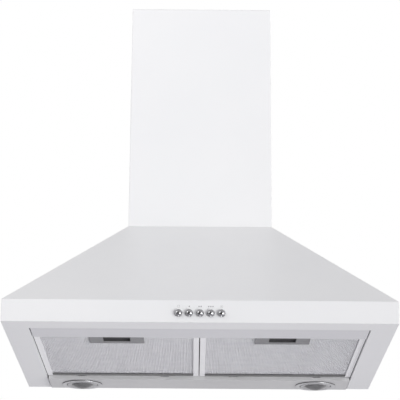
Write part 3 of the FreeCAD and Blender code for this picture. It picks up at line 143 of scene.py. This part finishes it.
looking = sky_nodes.new("ShaderNodeTexCoord").outputs["Generated"]
split = sky_nodes.new("ShaderNodeSeparateXYZ")
sky_links.new(looking, split.inputs[0])
up_and_down = sky_range(split.outputs["Z"], horizon, high_up, room_light, ceiling_light)
behind = sky_range(split.outputs["Y"], paper_starts, paper_full, 0, 1)
front_and_back = sky_nodes.new("ShaderNodeMix")
sky_links.new(behind, front_and_back.inputs["Factor"])
sky_links.new(up_and_down, front_and_back.inputs["A"])
front_and_back.inputs["B"].default_value = paper_light
to_corner = sky_nodes.new("ShaderNodeVectorMath")
to_corner.operation = "DOT_PRODUCT"
to_corner.inputs[1].default_value = dark_way.normalized()
sky_links.new(looking, to_corner.inputs[0])
corner = sky_range(to_corner.outputs["Value"], corner_wide, corner_narrow, 1, dark_corner)
tone = sky_nodes.new("ShaderNodeMath")
tone.operation = "MULTIPLY"
sky_links.new(front_and_back.outputs["Result"], tone.inputs[0])
sky_links.new(corner, tone.inputs[1])
room = sky_nodes.new("ShaderNodeBackground")
room.inputs["Color"].default_value = cool_white
sky_links.new(tone.outputs[0], room.inputs["Strength"])
paper = sky_nodes.new("ShaderNodeBackground")
paper.inputs["Color"].default_value = pure_white
what_ray = sky_nodes.new("ShaderNodeLightPath")
either = sky_nodes.new("ShaderNodeMixShader")
sky_links.new(what_ray.outputs["Is Camera Ray"], either.inputs["Fac"])
sky_links.new(room.outputs[0], either.inputs[1])
sky_links.new(paper.outputs[0], either.inputs[2])
sky_out = sky_nodes.new("ShaderNodeOutputWorld")
sky_links.new(either.outputs[0], sky_out.inputs["Surface"])
print("ceiling", ceiling_light, "room", room_light, "paper", paper_light)

# %% [markdown]
# ## Lamps
#
# A wide sun low on the right lights the upright faces and the underside, and throws each
# button's shadow up and to the left. A sun is used, not a softbox, because its light is even
# over the whole hood. A weaker softbox hangs high on the left, and a small one below stands
# for the light that a pale cooker top sends back up.

# %% Hang the lamps


def aimed(name, lamp_data, spot, aim):
    """A lamp at a spot, turned to face the aim, that the camera itself doesn't see."""
    lamp = bpy.data.objects.new(name, lamp_data)
    lamp.location = spot
    lamp.rotation_euler = (Vector(aim) - Vector(spot)).to_track_quat("-Z", "Y").to_euler()
    lamp.visible_camera = False
    bpy.context.scene.collection.objects.link(lamp)


key_strength = 2.35
key_width = 0.62
key_spot, key_aim = (2.9, -3.75, -1.72), (0, -0.48, -0.17)
key_data = bpy.data.lights.new("low_right_key", "SUN")
key_data.energy = key_strength
key_data.angle = key_width
aimed("low_right_key", key_data, key_spot, key_aim)

for name, watts, size, spot, aim in (
    ("left_softbox", 9, 1.0, (-1.5, -1.7, 0.7), (0, -0.2, 0.3)),
    ("cooker_bounce", 1.3, 0.35, (0, -0.35, -1.05), (0, -0.3, 0)),
):
    lamp_data = bpy.data.lights.new(name, "AREA")
    lamp_data.size = size
    lamp_data.energy = watts
    aimed(name, lamp_data, spot, aim)
    print(name, "gives", watts, "watts from", size, "m")
print("key sun is", key_strength, "strong and", key_width, "radians wide")

# %% [markdown]
# ## The floor
#
# A pale floor far below the hood gives the views from the side and back something to stand in, and
# throws a little light up on the underside. The near floor lights the hood. The far floor only
# carries it on to the horizon for the camera: it adds no light and takes none, because the key
# light comes from below its level, as in the photograph. Both are flat grids, and neither is part
# of the hood. Their undersides are clear, so a view from far below isn't blocked.

# %% Lay the floor
floor_drop = 2.4
floor_half = 4.0
floor_tone = (0.66, 0.652, 0.69)
floor_roughness = 0.8
floor_cells = 8
far_floor_half = 40.0
far_floor_step = 0.002
floor_paint = bpy.data.materials.new("floor_paint")
floor_paint.use_nodes = True
floor_shader = floor_paint.node_tree.nodes["Principled BSDF"]
floor_shader.inputs["Base Color"].default_value = (*floor_tone, 1)
floor_shader.inputs["Roughness"].default_value = floor_roughness
floor_nodes = floor_paint.node_tree.nodes
floor_links = floor_paint.node_tree.links
which_face = floor_nodes.new("ShaderNodeNewGeometry")
see_through = floor_nodes.new("ShaderNodeBsdfTransparent")
one_sided = floor_nodes.new("ShaderNodeMixShader")
floor_links.new(which_face.outputs["Backfacing"], one_sided.inputs["Fac"])
floor_links.new(floor_shader.outputs[0], one_sided.inputs[1])
floor_links.new(see_through.outputs[0], one_sided.inputs[2])
floor_links.new(one_sided.outputs[0], floor_nodes["Material Output"].inputs["Surface"])


def flat_floor(name, half, drop):
    """A level grid under the hood."""
    mesh = bpy.data.meshes.new(name)
    build = bmesh.new()
    bmesh.ops.create_grid(build, x_segments=floor_cells, y_segments=floor_cells, size=half)
    build.to_mesh(mesh)
    build.free()
    mesh.materials.append(floor_paint)
    floor = bpy.data.objects.new(name, mesh)
    floor.location = (0, 0, -drop)
    bpy.context.scene.collection.objects.link(floor)
    return floor


flat_floor("studio_floor", floor_half, floor_drop)
far_floor = flat_floor("far_floor", far_floor_half, floor_drop + far_floor_step)
far_floor.visible_diffuse = False
far_floor.visible_glossy = False
far_floor.visible_shadow = False
print("floor is", floor_drop, "m under the wall fixings")

# %% [markdown]
# ## How a finish is made
#
# Each finish is one Principled shader fed by a few noise textures. The textures read object
# coordinates, which are metres here, so a scale of 300 means spots about 3 mm across. One
# helper makes a noise, stretched along an axis for brushed metal. Others turn that noise
# into a colour between two shades, a roughness between two values, or a bump. A bevel node
# rounds the light on each sharp corner, as a press brake or a mould does to a real edge.

# %% Helpers for finishes
millimetre = 0.001
edge_radius = 0.0006
edge_samples = 4
pattern_low, pattern_high = 0.3, 0.7


def new_finish(name):
    """An empty finish: its material, its node tree and its Principled shader."""
    finish = bpy.data.materials.new(name)
    finish.use_nodes = True
    return finish, finish.node_tree, finish.node_tree.nodes["Principled BSDF"]


def noise(tree, size, stretch=(1, 1, 1), detail=3):
    """Cloudy noise whose spots are about size metres across, stretched along the axes."""
    where = tree.nodes.new("ShaderNodeTexCoord")
    fit = tree.nodes.new("ShaderNodeMapping")
    fit.inputs["Scale"].default_value = [1 / (size * way) for way in stretch]
    cloud = tree.nodes.new("ShaderNodeTexNoise")
    cloud.inputs["Scale"].default_value = 1
    cloud.inputs["Detail"].default_value = detail
    tree.links.new(where.outputs["Object"], fit.inputs["Vector"])
    tree.links.new(fit.outputs["Vector"], cloud.inputs["Vector"])
    return cloud.outputs["Fac"]


def shade_between(tree, shader, pattern, dark, light):
    """The colour runs from dark to light as the pattern does."""
    ramp = tree.nodes.new("ShaderNodeValToRGB")
    ramp.color_ramp.elements[0].position = pattern_low
    ramp.color_ramp.elements[0].color = (*dark, 1)
    ramp.color_ramp.elements[1].position = pattern_high
    ramp.color_ramp.elements[1].color = (*light, 1)
    tree.links.new(pattern, ramp.inputs["Fac"])
    tree.links.new(ramp.outputs["Color"], shader.inputs["Base Color"])


def gloss_between(tree, shader, pattern, smooth, rough):
    """The roughness runs between two values as the pattern does."""
    spread = tree.nodes.new("ShaderNodeMapRange")
    spread.inputs["From Min"].default_value = pattern_low
    spread.inputs["From Max"].default_value = pattern_high
    spread.inputs["To Min"].default_value = smooth
    spread.inputs["To Max"].default_value = rough
    tree.links.new(pattern, spread.inputs["Value"])
    tree.links.new(spread.outputs["Result"], shader.inputs["Roughness"])


def relief(tree, shader, pattern, depth, rounding=edge_radius):
    """A bump of the given depth in metres over edges that catch the light as if rounded."""
    bump = tree.nodes.new("ShaderNodeBump")
    bump.inputs["Distance"].default_value = depth
    bump.inputs["Strength"].default_value = 1
    tree.links.new(pattern, bump.inputs["Height"])
    if rounding:
        corner = tree.nodes.new("ShaderNodeBevel")
        corner.samples = edge_samples
        corner.inputs["Radius"].default_value = rounding
        tree.links.new(corner.outputs["Normal"], bump.inputs["Normal"])
    tree.links.new(bump.outputs["Normal"], shader.inputs["Normal"])


finishes = {}
print("edges catch light as if rounded by", round(edge_radius / millimetre, 2), "mm")

# %% [markdown]
# ## White powder paint
#
# The canopy and both chimney covers are folded steel with baked white powder. Seen close,
# powder paint has a faint orange peel of a millimetre or two, and its gloss drifts where
# the coat is thicker. The colour itself barely moves, so two whites a shade apart are
# enough. The inner strip and the lamp panel are painted too, each in its own grey.

# %% Mix the paints
peel_size = 0.0016
gloss_patch = peel_size * 12
drift_size = 0.22
fold_radius = 0.0018
paint_gloss, clear_coat, coat_blur = 0.45, 0.12, 0.2
silver_flake = 0.25


def paint(name, dark, light, smooth, rough, peel_depth):
    """Baked powder between two shades, with a soft edge where the sheet is folded."""
    finish, tree, shader = new_finish(name)
    drift = noise(tree, drift_size, detail=4)
    shade_between(tree, shader, drift, dark, light)
    gloss_between(tree, shader, noise(tree, gloss_patch), smooth, rough)
    relief(tree, shader, noise(tree, peel_size, detail=2), peel_depth, fold_radius)
    shader.inputs["Specular IOR Level"].default_value = paint_gloss
    shader.inputs["Coat Weight"].default_value = clear_coat
    shader.inputs["Coat Roughness"].default_value = coat_blur
    return finish


# each row: slot, name, dark and light shade, smooth and rough end, depth of the peel
paints = (
    ("white_paint", "white_powder_paint", (0.86, 0.865, 0.875), (0.885, 0.887, 0.893),
     0.34, 0.46, 0.00002),
    ("light_strip", "pale_strip_paint", (0.71, 0.71, 0.735), (0.74, 0.74, 0.76),
     0.4, 0.52, 0.00002),
    ("silver_panel", "silver_lamp_panel_paint", (0.64, 0.64, 0.645), (0.7, 0.7, 0.705),
     0.3, 0.42, 0.000015),
)
for slot, *recipe in paints:
    finishes[slot] = paint(*recipe)
silver_shader = finishes["silver_panel"].node_tree.nodes["Principled BSDF"]
silver_shader.inputs["Metallic"].default_value = silver_flake
print("paints:", len(finishes))

# %% [markdown]
# ## Metals
#
# Galvanised sheet shows grey spangles a centimetre across. Rolled aluminium and bright
# steel have a fine grain along the way they were drawn. Both come from the same recipe: a
# noise for the colour, a much stretched noise for the grain, and a little relief.

# %% Roll the metals
grain_size = 0.0005
grain_stretch = 60


def metal(name, dark, light, smooth, rough, spots, grain_axis, grain_depth, metallic=1.0):
    """Metal with soft spots of colour and a fine grain drawn along one axis."""
    finish, tree, shader = new_finish(name)
    shader.inputs["Metallic"].default_value = metallic
    shade_between(tree, shader, noise(tree, spots, detail=4), dark, light)
    stretch = [1, 1, 1]
    stretch[grain_axis] = grain_stretch
    grain = noise(tree, grain_size, stretch)
    gloss_between(tree, shader, grain, smooth, rough)
    relief(tree, shader, grain, grain_depth, edge_radius / 2)
    return finish


# each row: slot, name, dark and light shade, smooth and rough end, size of the spots, axis of
# the grain, its depth, and how metallic it is where that isn't wholly
metals = (
    ("galvanised", "galvanised_sheet", (0.55, 0.57, 0.59), (0.74, 0.76, 0.78),
     0.32, 0.55, 0.012, 0, 0.00001),
    ("aluminium", "rolled_aluminium", (0.95, 0.95, 0.96), (0.99, 0.99, 1.0),
     0.34, 0.5, 0.03, 1, 0.00001, 0.1),
    ("mesh", "expanded_aluminium", (0.86, 0.86, 0.885), (0.93, 0.93, 0.95),
     0.34, 0.5, 0.02, 0, 0.000005, 0.4),
    ("steel", "bright_zinc_steel", (0.6, 0.61, 0.63), (0.76, 0.77, 0.79),
     0.22, 0.4, 0.006, 0, 0.000005),
    ("cast_alloy", "die_cast_alloy", (0.5, 0.51, 0.53), (0.64, 0.65, 0.66),
     0.45, 0.65, 0.005, 2, 0.00003),
    ("core_steel", "dark_core_laminations", (0.16, 0.16, 0.17), (0.26, 0.26, 0.27),
     0.4, 0.6, 0.008, 1, 0.00003),
    ("chrome", "button_chrome", (0.4, 0.4, 0.41), (0.48, 0.48, 0.49),
     0.06, 0.12, 0.004, 2, 0.0000005),
)
for slot, *recipe in metals:
    finishes[slot] = metal(*recipe)
print("paints and metals:", len(finishes))

# %% [markdown]
# ## Plastics, rubber, ceramic and glass
#
# Moulded plastic has a spark-eroded texture of fine pits, with a smoother patch here and
# there where hands or air have polished it. Rubber is the same idea, darker and duller.
# The lamp's lens is frosted on the inside, so it lets a little light through but shows no
# bulb. Its grey is the dark inside of the lamp, as the frosting spreads it.

# %% Mould the plastics
pit_size = 0.0006
cloud_size, rub_size = 0.03, 0.008


def moulded(name, dark, light, smooth, rough, pit_depth, sheen=0.0):
    """Plastic, rubber or ceramic with fine pits and patches of different gloss."""
    finish, tree, shader = new_finish(name)
    shade_between(tree, shader, noise(tree, cloud_size, detail=4), dark, light)
    gloss_between(tree, shader, noise(tree, rub_size), smooth, rough)
    relief(tree, shader, noise(tree, pit_size, detail=2), pit_depth)
    shader.inputs["Sheen Weight"].default_value = sheen
    return finish


# each row: slot, name, dark and light shade, smooth and rough end, depth of the pits, sheen
plastics = (
    ("grey_plastic", "grey_filter_handle", (0.235, 0.235, 0.245), (0.275, 0.275, 0.285),
     0.42, 0.58, 0.00003),
    ("black_plastic", "black_blower_plastic", (0.018, 0.018, 0.02), (0.035, 0.035, 0.038),
     0.38, 0.55, 0.00004),
    ("white_plastic", "white_box_plastic", (0.7, 0.7, 0.68), (0.78, 0.78, 0.76),
     0.3, 0.42, 0.00002),
    ("rubber", "black_rubber", (0.02, 0.02, 0.02), (0.045, 0.045, 0.045),
     0.65, 0.85, 0.00004, 0.15),
    ("ceramic", "glazed_lamp_holder", (0.78, 0.76, 0.7), (0.86, 0.84, 0.79),
     0.18, 0.3, 0.00002),
)
for slot, *recipe in plastics:
    finishes[slot] = moulded(*recipe)

frosted, frosted_tree, frosted_shader = new_finish("frosted_lamp_glass")
shade_between(
    frosted_tree, frosted_shader, noise(frosted_tree, 0.012), (0.13, 0.13, 0.132), (0.2, 0.2, 0.202)
)
gloss_between(frosted_tree, frosted_shader, noise(frosted_tree, 0.004), 0.12, 0.24)
relief(frosted_tree, frosted_shader, noise(frosted_tree, 0.0004, detail=2), 0.00001, 0)
for socket, value in {
    "Transmission Weight": 0.1, "IOR": 1.5, "Coat Weight": 0.4, "Coat Roughness": 0.08,
}.items():
    frosted_shader.inputs[socket].default_value = value
finishes["frosted_glass"] = frosted
print("finishes ready:", len(finishes))

# %% [markdown]
# ## Dress the solids
#
# A solid of the frame keeps its shape and only gets a better finish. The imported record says
# which slot each one belongs to, so one loop dresses them all, and nothing is forgotten.

# %% Put a finish on every solid
for row in frame["record"]["subparts"]:
    solid = frame["nodes"][row["node"]]
    solid.data.materials.clear()
    solid.data.materials.append(finishes[row["material_slot"]])

# %% [markdown]
# ## How a piece is added
#
# Every added piece needs the same four things: a mesh, an object in the scene, a finish, and a body
# that it rides on. Some also stand for a solid of the frame. Two helpers do this once, so the steps
# below only make shapes: one adds a piece whose mesh is ready, and the other first turns a bmesh
# into that mesh. Thin strips come up twice, so a third helper makes a slab whose lower edges are
# softened.

# %% Helpers for pieces
strip_bevels = 2


def add_piece(mesh, finish, body, node=None):
    """An object for a finished mesh, with its finish and body."""
    piece = bpy.data.objects.new(mesh.name, mesh)
    bpy.context.scene.collection.objects.link(piece)
    mesh.materials.append(finish)
    if node:
        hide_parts(node)
    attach(piece, body)
    return piece


def mesh_from(build, name):
    """The mesh of a bmesh, which is then freed."""
    mesh = bpy.data.meshes.new(name)
    build.to_mesh(mesh)
    build.free()
    return mesh


def soft_slab(name, middle, size, softness):
    """A slab of the given middle and size, with its lower edges rounded off."""
    build = bmesh.new()
    bmesh.ops.create_cube(build, size=1)
    for corner in build.verts:
        corner.co = Vector([part * long for part, long in zip(corner.co, size)]) + middle
    edges = [edge for edge in build.edges if all(end.co.z < middle.z for end in edge.verts)]
    bmesh.ops.bevel(build, geom=edges, offset=softness, segments=strip_bevels, affect="EDGES")
    return mesh_from(build, name)


print("helpers ready: add_piece, mesh_from and soft_slab")

# %% [markdown]
# ## Expanded aluminium mesh
#
# A grease filter is a sandwich of expanded aluminium: a sheet is slit in short staggered
# rows and pulled, so each slit opens into a diamond and its strands twist. The frame holds
# plain sheets with large diamonds. Here each is replaced by a fine one. Every cell is a
# ring of four flat strands between an outer diamond, shared with its neighbours, and an
# inner one, tipped up on one side like the real twisted strand. An Array modifier could
# repeat one cell, but shared corners give one joined sheet, so the cells are laid in loops.

# %% Slit and pull the sheets
strand_width = 0.00115
strand_across, strand_along = 1.25, 0.55
sheet_thickness = 0.00035
per_micrometre = 1e6


def expanded_sheet(name, node, body, long_way, short_way, tip, grip_box):
    """A joined sheet of diamond cells that fills the box of the CAD sheet it stands for."""
    low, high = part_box(node)
    middle_z = (low.z + high.z) / 2
    half_x, half_y = long_way / 2, short_way / 2
    columns = int((high.x - low.x) / long_way)
    rows = int((high.y - low.y) / half_y)
    start_x = (low.x + high.x - (columns - 1) * long_way) / 2
    start_y = (low.y + high.y - (rows - 1) * half_y) / 2
    inner_x = half_x - strand_width * strand_across
    inner_y = half_y - strand_width * strand_along
    points, faces, shared = [], [], {}

    def corner(x, y):
        """The number of the shared corner at a place, made when first asked for."""
        key = (round(x * per_micrometre), round(y * per_micrometre))
        if key not in shared:
            shared[key] = len(points)
            points.append((x, y, middle_z))
        return shared[key]

    cut_low, cut_high = grip_box
    for row in range(rows):
        shift = half_x if row % 2 else 0
        y = start_y + row * half_y
        for column in range(columns - (row % 2)):
            x = start_x + column * long_way + shift
            over_grip = cut_low.x + half_x < x < cut_high.x - half_x
            if over_grip and y < cut_high.y - half_y:
                continue
            outer = [corner(x - half_x, y), corner(x, y - half_y),
                     corner(x + half_x, y), corner(x, y + half_y)]
            first = len(points)
            points += [(x - inner_x, y, middle_z), (x, y - inner_y, middle_z + tip),
                       (x + inner_x, y, middle_z), (x, y + inner_y, middle_z - tip)]
            for side in range(4):
                after = (side + 1) % 4
                faces.append((outer[side], outer[after], first + after, first + side))
    mesh = bpy.data.meshes.new(name)
    mesh.from_pydata(points, [], faces)
    sheet = add_piece(mesh, finishes["mesh"], body, node)
    gauge = sheet.modifiers.new("gauge", "SOLIDIFY")
    gauge.thickness = sheet_thickness
    gauge.offset = 0
    print(name, "has", len(faces) // 4, "diamonds")


# each row: the fine sheet, the plain one it stands for, diamond's long and short way, tip
filter_sheets = (
    ("fine_mesh", "filter_lower_mesh", 0.0052, 0.0034, 0.0009),
    ("middle_mesh", "filter_core_mesh", 0.0104, 0.0068, 0.0006),
    ("back_mesh", "filter_upper_mesh", 0.0078, 0.0052, 0.0005),
)
for side in ("left", "right"):
    grip_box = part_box(f"filter_handle_{side}")
    for sheet_name, plain, long_way, short_way, tip in filter_sheets:
        expanded_sheet(f"{sheet_name}_{side}", f"{plain}_{side}", f"filter_{side}",
                       long_way, short_way, tip, grip_box)

# %% [markdown]
# ## Lamp trims and glasses
#
# Each downlight has a pressed trim ring and a frosted glass whose flat rim carries a dome that
# stands 6 mm below it. Two thin rings are painted near black as painted shade: one in the gap
# between the panel and the trim's outer edge, one in the groove between the trim and the glass. All
# are round, so each is one profile of radius and height turned about the lamp's axis. A Screw
# modifier would do it, but turning the points in code gives shared, closed meshes with no seam to
# merge.

# %% Turn the lamp's rings
around_lamp = 72
crease_angle = math.radians(35)
panel_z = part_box("lamp_panel")[0].z


def turned_ring(build, spot, profile):
    """A closed ring from (radius, height) points in order; a radius of nought is the axis."""
    rings = []
    for radius, height in profile:
        if radius == 0:
            rings.append([build.verts.new((spot.x, spot.y, height))] * around_lamp)
            continue
        rings.append([
            build.verts.new((spot.x + radius * math.cos(2 * math.pi * step / around_lamp),
                             spot.y + radius * math.sin(2 * math.pi * step / around_lamp), height))
            for step in range(around_lamp)
        ])
    closed = profile[0][0] and profile[-1][0]
    pairs = list(zip(rings, rings[1:])) + ([(rings[-1], rings[0])] if closed else [])
    for first, second in pairs:
        for step in range(around_lamp):
            after = (step + 1) % around_lamp
            corners = [first[step], second[step], second[after], first[after]]
            build.faces.new(list(dict.fromkeys(corners)))


def turned_piece(name, profile, finish, node=None):
    """One piece of two turned rings, one at each lamp, from a profile in millimetres."""
    low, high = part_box("lamp_bezels")
    radius = (high.y - low.y) / 2
    build = bmesh.new()
    for x in (low.x + radius, high.x - radius):
        spot = Vector((x, (low.y + high.y) / 2))
        turned_ring(build, spot, [
            (reach * millimetre, panel_z + height * millimetre) for reach, height in profile
        ])
    bmesh.ops.recalc_face_normals(build, faces=build.faces)
    mesh = mesh_from(build, name)
    mesh.shade_smooth()
    mesh.set_sharp_from_angle(angle=crease_angle)
    add_piece(mesh, finish, "hood", node)
    print(name, "has", len(mesh.polygons), "faces")


trim_finish = metal(
    "polished_trim", (0.7, 0.7, 0.71), (0.8, 0.8, 0.81), 0.26, 0.4, 0.01, 0, 0.000002, 0.8
)
rim_finish = moulded(
    "frosted_glass_rim", (0.42, 0.42, 0.43), (0.5, 0.5, 0.51), 0.2, 0.34, 0.00001
)
# near-black paint for the lamps' two thin rings: painted shade in the gaps at the trim
lamp_gap_shade_finish = moulded(
    "lamp_gap_shade", (0.05, 0.05, 0.052), (0.09, 0.09, 0.092), 0.5, 0.7, 0.00002
)
outer_gap_shade_profile = [(34.4, 0.2), (34.4, -1.3), (33.2, -1.3), (33.2, 0.2)]
trim_profile = [
    (34.5, -1.3), (34.4, -1.7), (34.0, -1.95), (33.4, -2.0), (28.2, -1.9), (27.5, -1.6),
    (27.2, -1.0), (27.2, 0.6), (30.6, 0.6), (30.6, -1.3),
]
groove_shade_profile = [(27.2, 0.2), (27.2, -0.9), (26.2, -0.9), (26.2, 0.2)]
rim_profile = [
    (26.2, 0.2), (26.2, -1.4), (25.8, -1.9), (25.0, -2.0), (19.4, -1.8), (18.6, -1.4), (18.6, 0.2),
]
dome_radius = 18.5
dome_bulge = 6.0
dome_steps = 12
dome_base, dome_back = -2, 0.2
dome_ball = (dome_radius ** 2 + dome_bulge ** 2) / (2 * dome_bulge)
dome_profile = [(0, dome_base - dome_bulge)]
for step in range(1, dome_steps + 1):
    reach = dome_radius * step / dome_steps
    sag = dome_ball - math.sqrt(dome_ball ** 2 - reach ** 2)
    dome_profile.append((reach, dome_base - dome_bulge + sag))
dome_profile += [(dome_radius, dome_back), (0, dome_back)]
# the gap ring here and the groove ring two lines down are painted shade
turned_piece("lamp_gap_shades", outer_gap_shade_profile, lamp_gap_shade_finish)
turned_piece("lamp_trims", trim_profile, trim_finish, "lamp_bezels")
turned_piece("lamp_groove_shades", groove_shade_profile, lamp_gap_shade_finish)
turned_piece("lamp_rims", rim_profile, rim_finish)
turned_piece("lamp_domes", dome_profile, finishes["frosted_glass"], "lamp_lenses")

# %% [markdown]
# ## Painted shade behind the filters
#
# A strip painted near black lies along the rear bar of each filter, and reaches a few millimetres
# under the mesh. It is painted shade: from the room it shows as the dark line of shade behind the
# mesh. It is a thin slab whose lower edges are soft, so a box of eight corners is bevelled in code,
# and its finish is a dark fuzzy noise with some sheen.

# %% Lay the strips of painted shade
gap_shade_thickness = 0.0006
gap_shade_inset = 0.0006
gap_shade_reach = 0.007
gap_shade_softness = 0.4
rear_border = 0.009
tongue_gap = 0.003
# near-black finish that paints the shade in the gaps behind and beside the filters
gap_shade = moulded("dark_gap_shade", (0.03, 0.03, 0.032), (0.07, 0.07, 0.074), 0.8, 0.95, 0.0002, 0.3)

for side in ("left", "right"):
    low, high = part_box(f"filter_frame_{side}")
    tongue_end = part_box("lamp_panel")[0].y - tongue_gap
    size = Vector((high.x - low.x - 2 * rear_border, rear_border - 2 * gap_shade_inset + gap_shade_reach,
                   gap_shade_thickness))
    middle = Vector(((low.x + high.x) / 2, tongue_end - (rear_border + gap_shade_reach) / 2,
                     low.z - gap_shade_thickness / 2))
    shade_slab = soft_slab(f"rear_shade_slab_{side}", middle, size, gap_shade_thickness * gap_shade_softness)
    add_piece(shade_slab, gap_shade, f"filter_{side}")
    print(shade_slab.name, "is", round(size.x / millimetre, 1), "mm long")

# %% [markdown]
# ## Painted shade in the side gaps
#
# A thin strip painted near black stands in the narrow gap on each side of the pair of filters. It
# is painted shade: only its lower edge shows, as the dark line of the deep gap next to the bright
# frame. It rides on the canopy and leaves the filter free to swing.

# %% Lay strips of painted shade in the side gaps
shade_strip_clearance = 0.0002
shade_strip_width = 0.0013
shade_strip_low, shade_strip_high = 0.0012, 0.0085
shade_strip_softness = 0.3
# each strip is painted shade: the dark line of the gap beside a filter
for side, way in (("left", -1), ("right", 1)):
    low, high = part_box(f"filter_frame_{side}")
    near_x = (high.x if way > 0 else low.x) + way * shade_strip_clearance
    panel_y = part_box("lamp_panel")[0].y - gap_shade_inset
    size = Vector((shade_strip_width, panel_y - low.y, shade_strip_high - shade_strip_low))
    middle = Vector((near_x + way * shade_strip_width / 2, (panel_y + low.y) / 2,
                     low.z + (shade_strip_low + shade_strip_high) / 2))
    shade_strip = soft_slab(f"side_shade_strip_{side}", middle, size, shade_strip_width * shade_strip_softness)
    add_piece(shade_strip, gap_shade, "hood")
    print(shade_strip.name, "is", round(size.y / millimetre, 1), "mm long")

# %% [markdown]
# ## Painted shade in the finger recesses
#
# A cup painted near black lines the finger recess of each filter handle: it is painted shade, so
# the recess reads as a dark slot from the room. It is an open box of five thin walls. Solidify
# could thicken a bare sheet, and does here: the five faces are made inside the recess, and the
# modifier grows them inwards by the wall's thickness, so the cup never pokes through the grey
# handle.

# %% Line the finger recesses with painted shade
cup_wall = 0.0005
recess_rim = 0.002
recess_gap = 0.0001
recess_width = 0.0425
recess_length = 0.0305
recess_height = 0.0038
# near-black paint that stands for the shade inside each finger recess
recess_shade_finish = moulded(
    "painted_recess_shade", (0.055, 0.055, 0.058), (0.085, 0.085, 0.088), 0.4, 0.55, 0.00003
)


def finger_cup(name, node, body):
    """Five thin walls around the inside of one finger recess, open towards the floor."""
    low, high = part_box(node)
    middle_x = (low.x + high.x) / 2
    x = (middle_x - recess_width / 2 + recess_gap, middle_x + recess_width / 2 - recess_gap)
    y = (low.y + recess_rim + recess_gap, low.y + recess_rim + recess_length - recess_gap)
    z = (low.z, low.z + recess_height)
    build = bmesh.new()
    rings = [[build.verts.new(spot) for spot in
              ((x[0], y[0], level), (x[1], y[0], level), (x[1], y[1], level), (x[0], y[1], level))]
             for level in z]
    for side in range(4):
        after = (side + 1) % 4
        build.faces.new((rings[0][side], rings[0][after], rings[1][after], rings[1][side]))
    build.faces.new(rings[1])
    bmesh.ops.recalc_face_normals(build, faces=build.faces)
    cup = add_piece(mesh_from(build, name), recess_shade_finish, body)
    wall = cup.modifiers.new("wall", "SOLIDIFY")
    wall.thickness = cup_wall
    wall.offset = -1
    print(name, "lines a recess", round((y[1] - y[0]) / millimetre, 1), "mm deep")


for side in ("left", "right"):
    finger_cup(f"finger_cup_{side}", f"filter_handle_{side}", f"filter_{side}")

# %% [markdown]
# ## Printed dots
#
# Each button has a small grey mark printed above it: a ring for the lamp, then one, two
# and three dots for the three speeds, and a ring with a dot for off. Pad printing leaves
# ink a few hundredths of a millimetre thick. A texture could do it, but a real thin disc
# stays sharp from near and needs no image.

# %% Print the dots
ink_thickness = 0.00004
dot_radius = 0.00105
dot_pitch = 0.0032
mark_height = 0.0107
around_dot = 32
lamp_button, off_button = 1, 5
ring_outside, ring_inside, ring_dot = dot_radius * 2, dot_radius * 1.75, dot_radius * 0.5

ink, ink_tree, ink_shader = new_finish("printed_grey_ink")
shade_between(ink_tree, ink_shader, noise(ink_tree, 0.002), (0.36, 0.36, 0.37), (0.44, 0.44, 0.45))
gloss_between(ink_tree, ink_shader, noise(ink_tree, 0.001), 0.45, 0.6)
relief(ink_tree, ink_shader, noise(ink_tree, 0.0003), 0.000003, 0)

band_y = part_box("canopy_shell")[0].y


def printed_ring(build, x, z, outside, inside):
    """A flat ring, or a disc when inside is nought, just proud of the band."""
    front_y = band_y - ink_thickness
    rings = []
    for radius, y in ((inside, front_y), (outside, front_y), (outside, band_y)):
        rings.append([
            build.verts.new((x + radius * math.cos(2 * math.pi * step / around_dot), y,
                             z + radius * math.sin(2 * math.pi * step / around_dot)))
            for step in range(around_dot)
        ] if radius else [build.verts.new((x, y, z))] * around_dot)
    for step in range(around_dot):
        after = (step + 1) % around_dot
        for inner, outer in zip(rings, rings[1:]):
            ring_face = [inner[step], outer[step], outer[after], inner[after]]
            build.faces.new(list(dict.fromkeys(ring_face)))


def printed_mark(name, rings):
    """One mark on the band, made of flat rings and dots."""
    build = bmesh.new()
    for x, z, outside, inside in rings:
        printed_ring(build, x, z, outside, inside)
    bmesh.ops.recalc_face_normals(build, faces=build.faces)
    add_piece(mesh_from(build, name), ink, "hood")
    print(name, "has", len(rings), "printed shapes")


for number in range(lamp_button, off_button + 1):
    low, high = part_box(f"button_{number}")
    x, z = (low.x + high.x) / 2, (low.z + high.z) / 2 + mark_height
    if number in (lamp_button, off_button):
        rings = [(x, z, ring_outside, ring_inside)]
        if number == off_button:
            rings.append((x, z, ring_dot, 0))
    else:
        count = number - 1
        first_x = x - (count - 1) * dot_pitch / 2
        rings = [(first_x + step * dot_pitch, z, dot_radius, 0) for step in range(count)]
    printed_mark(f"printed_mark_{number}", rings)
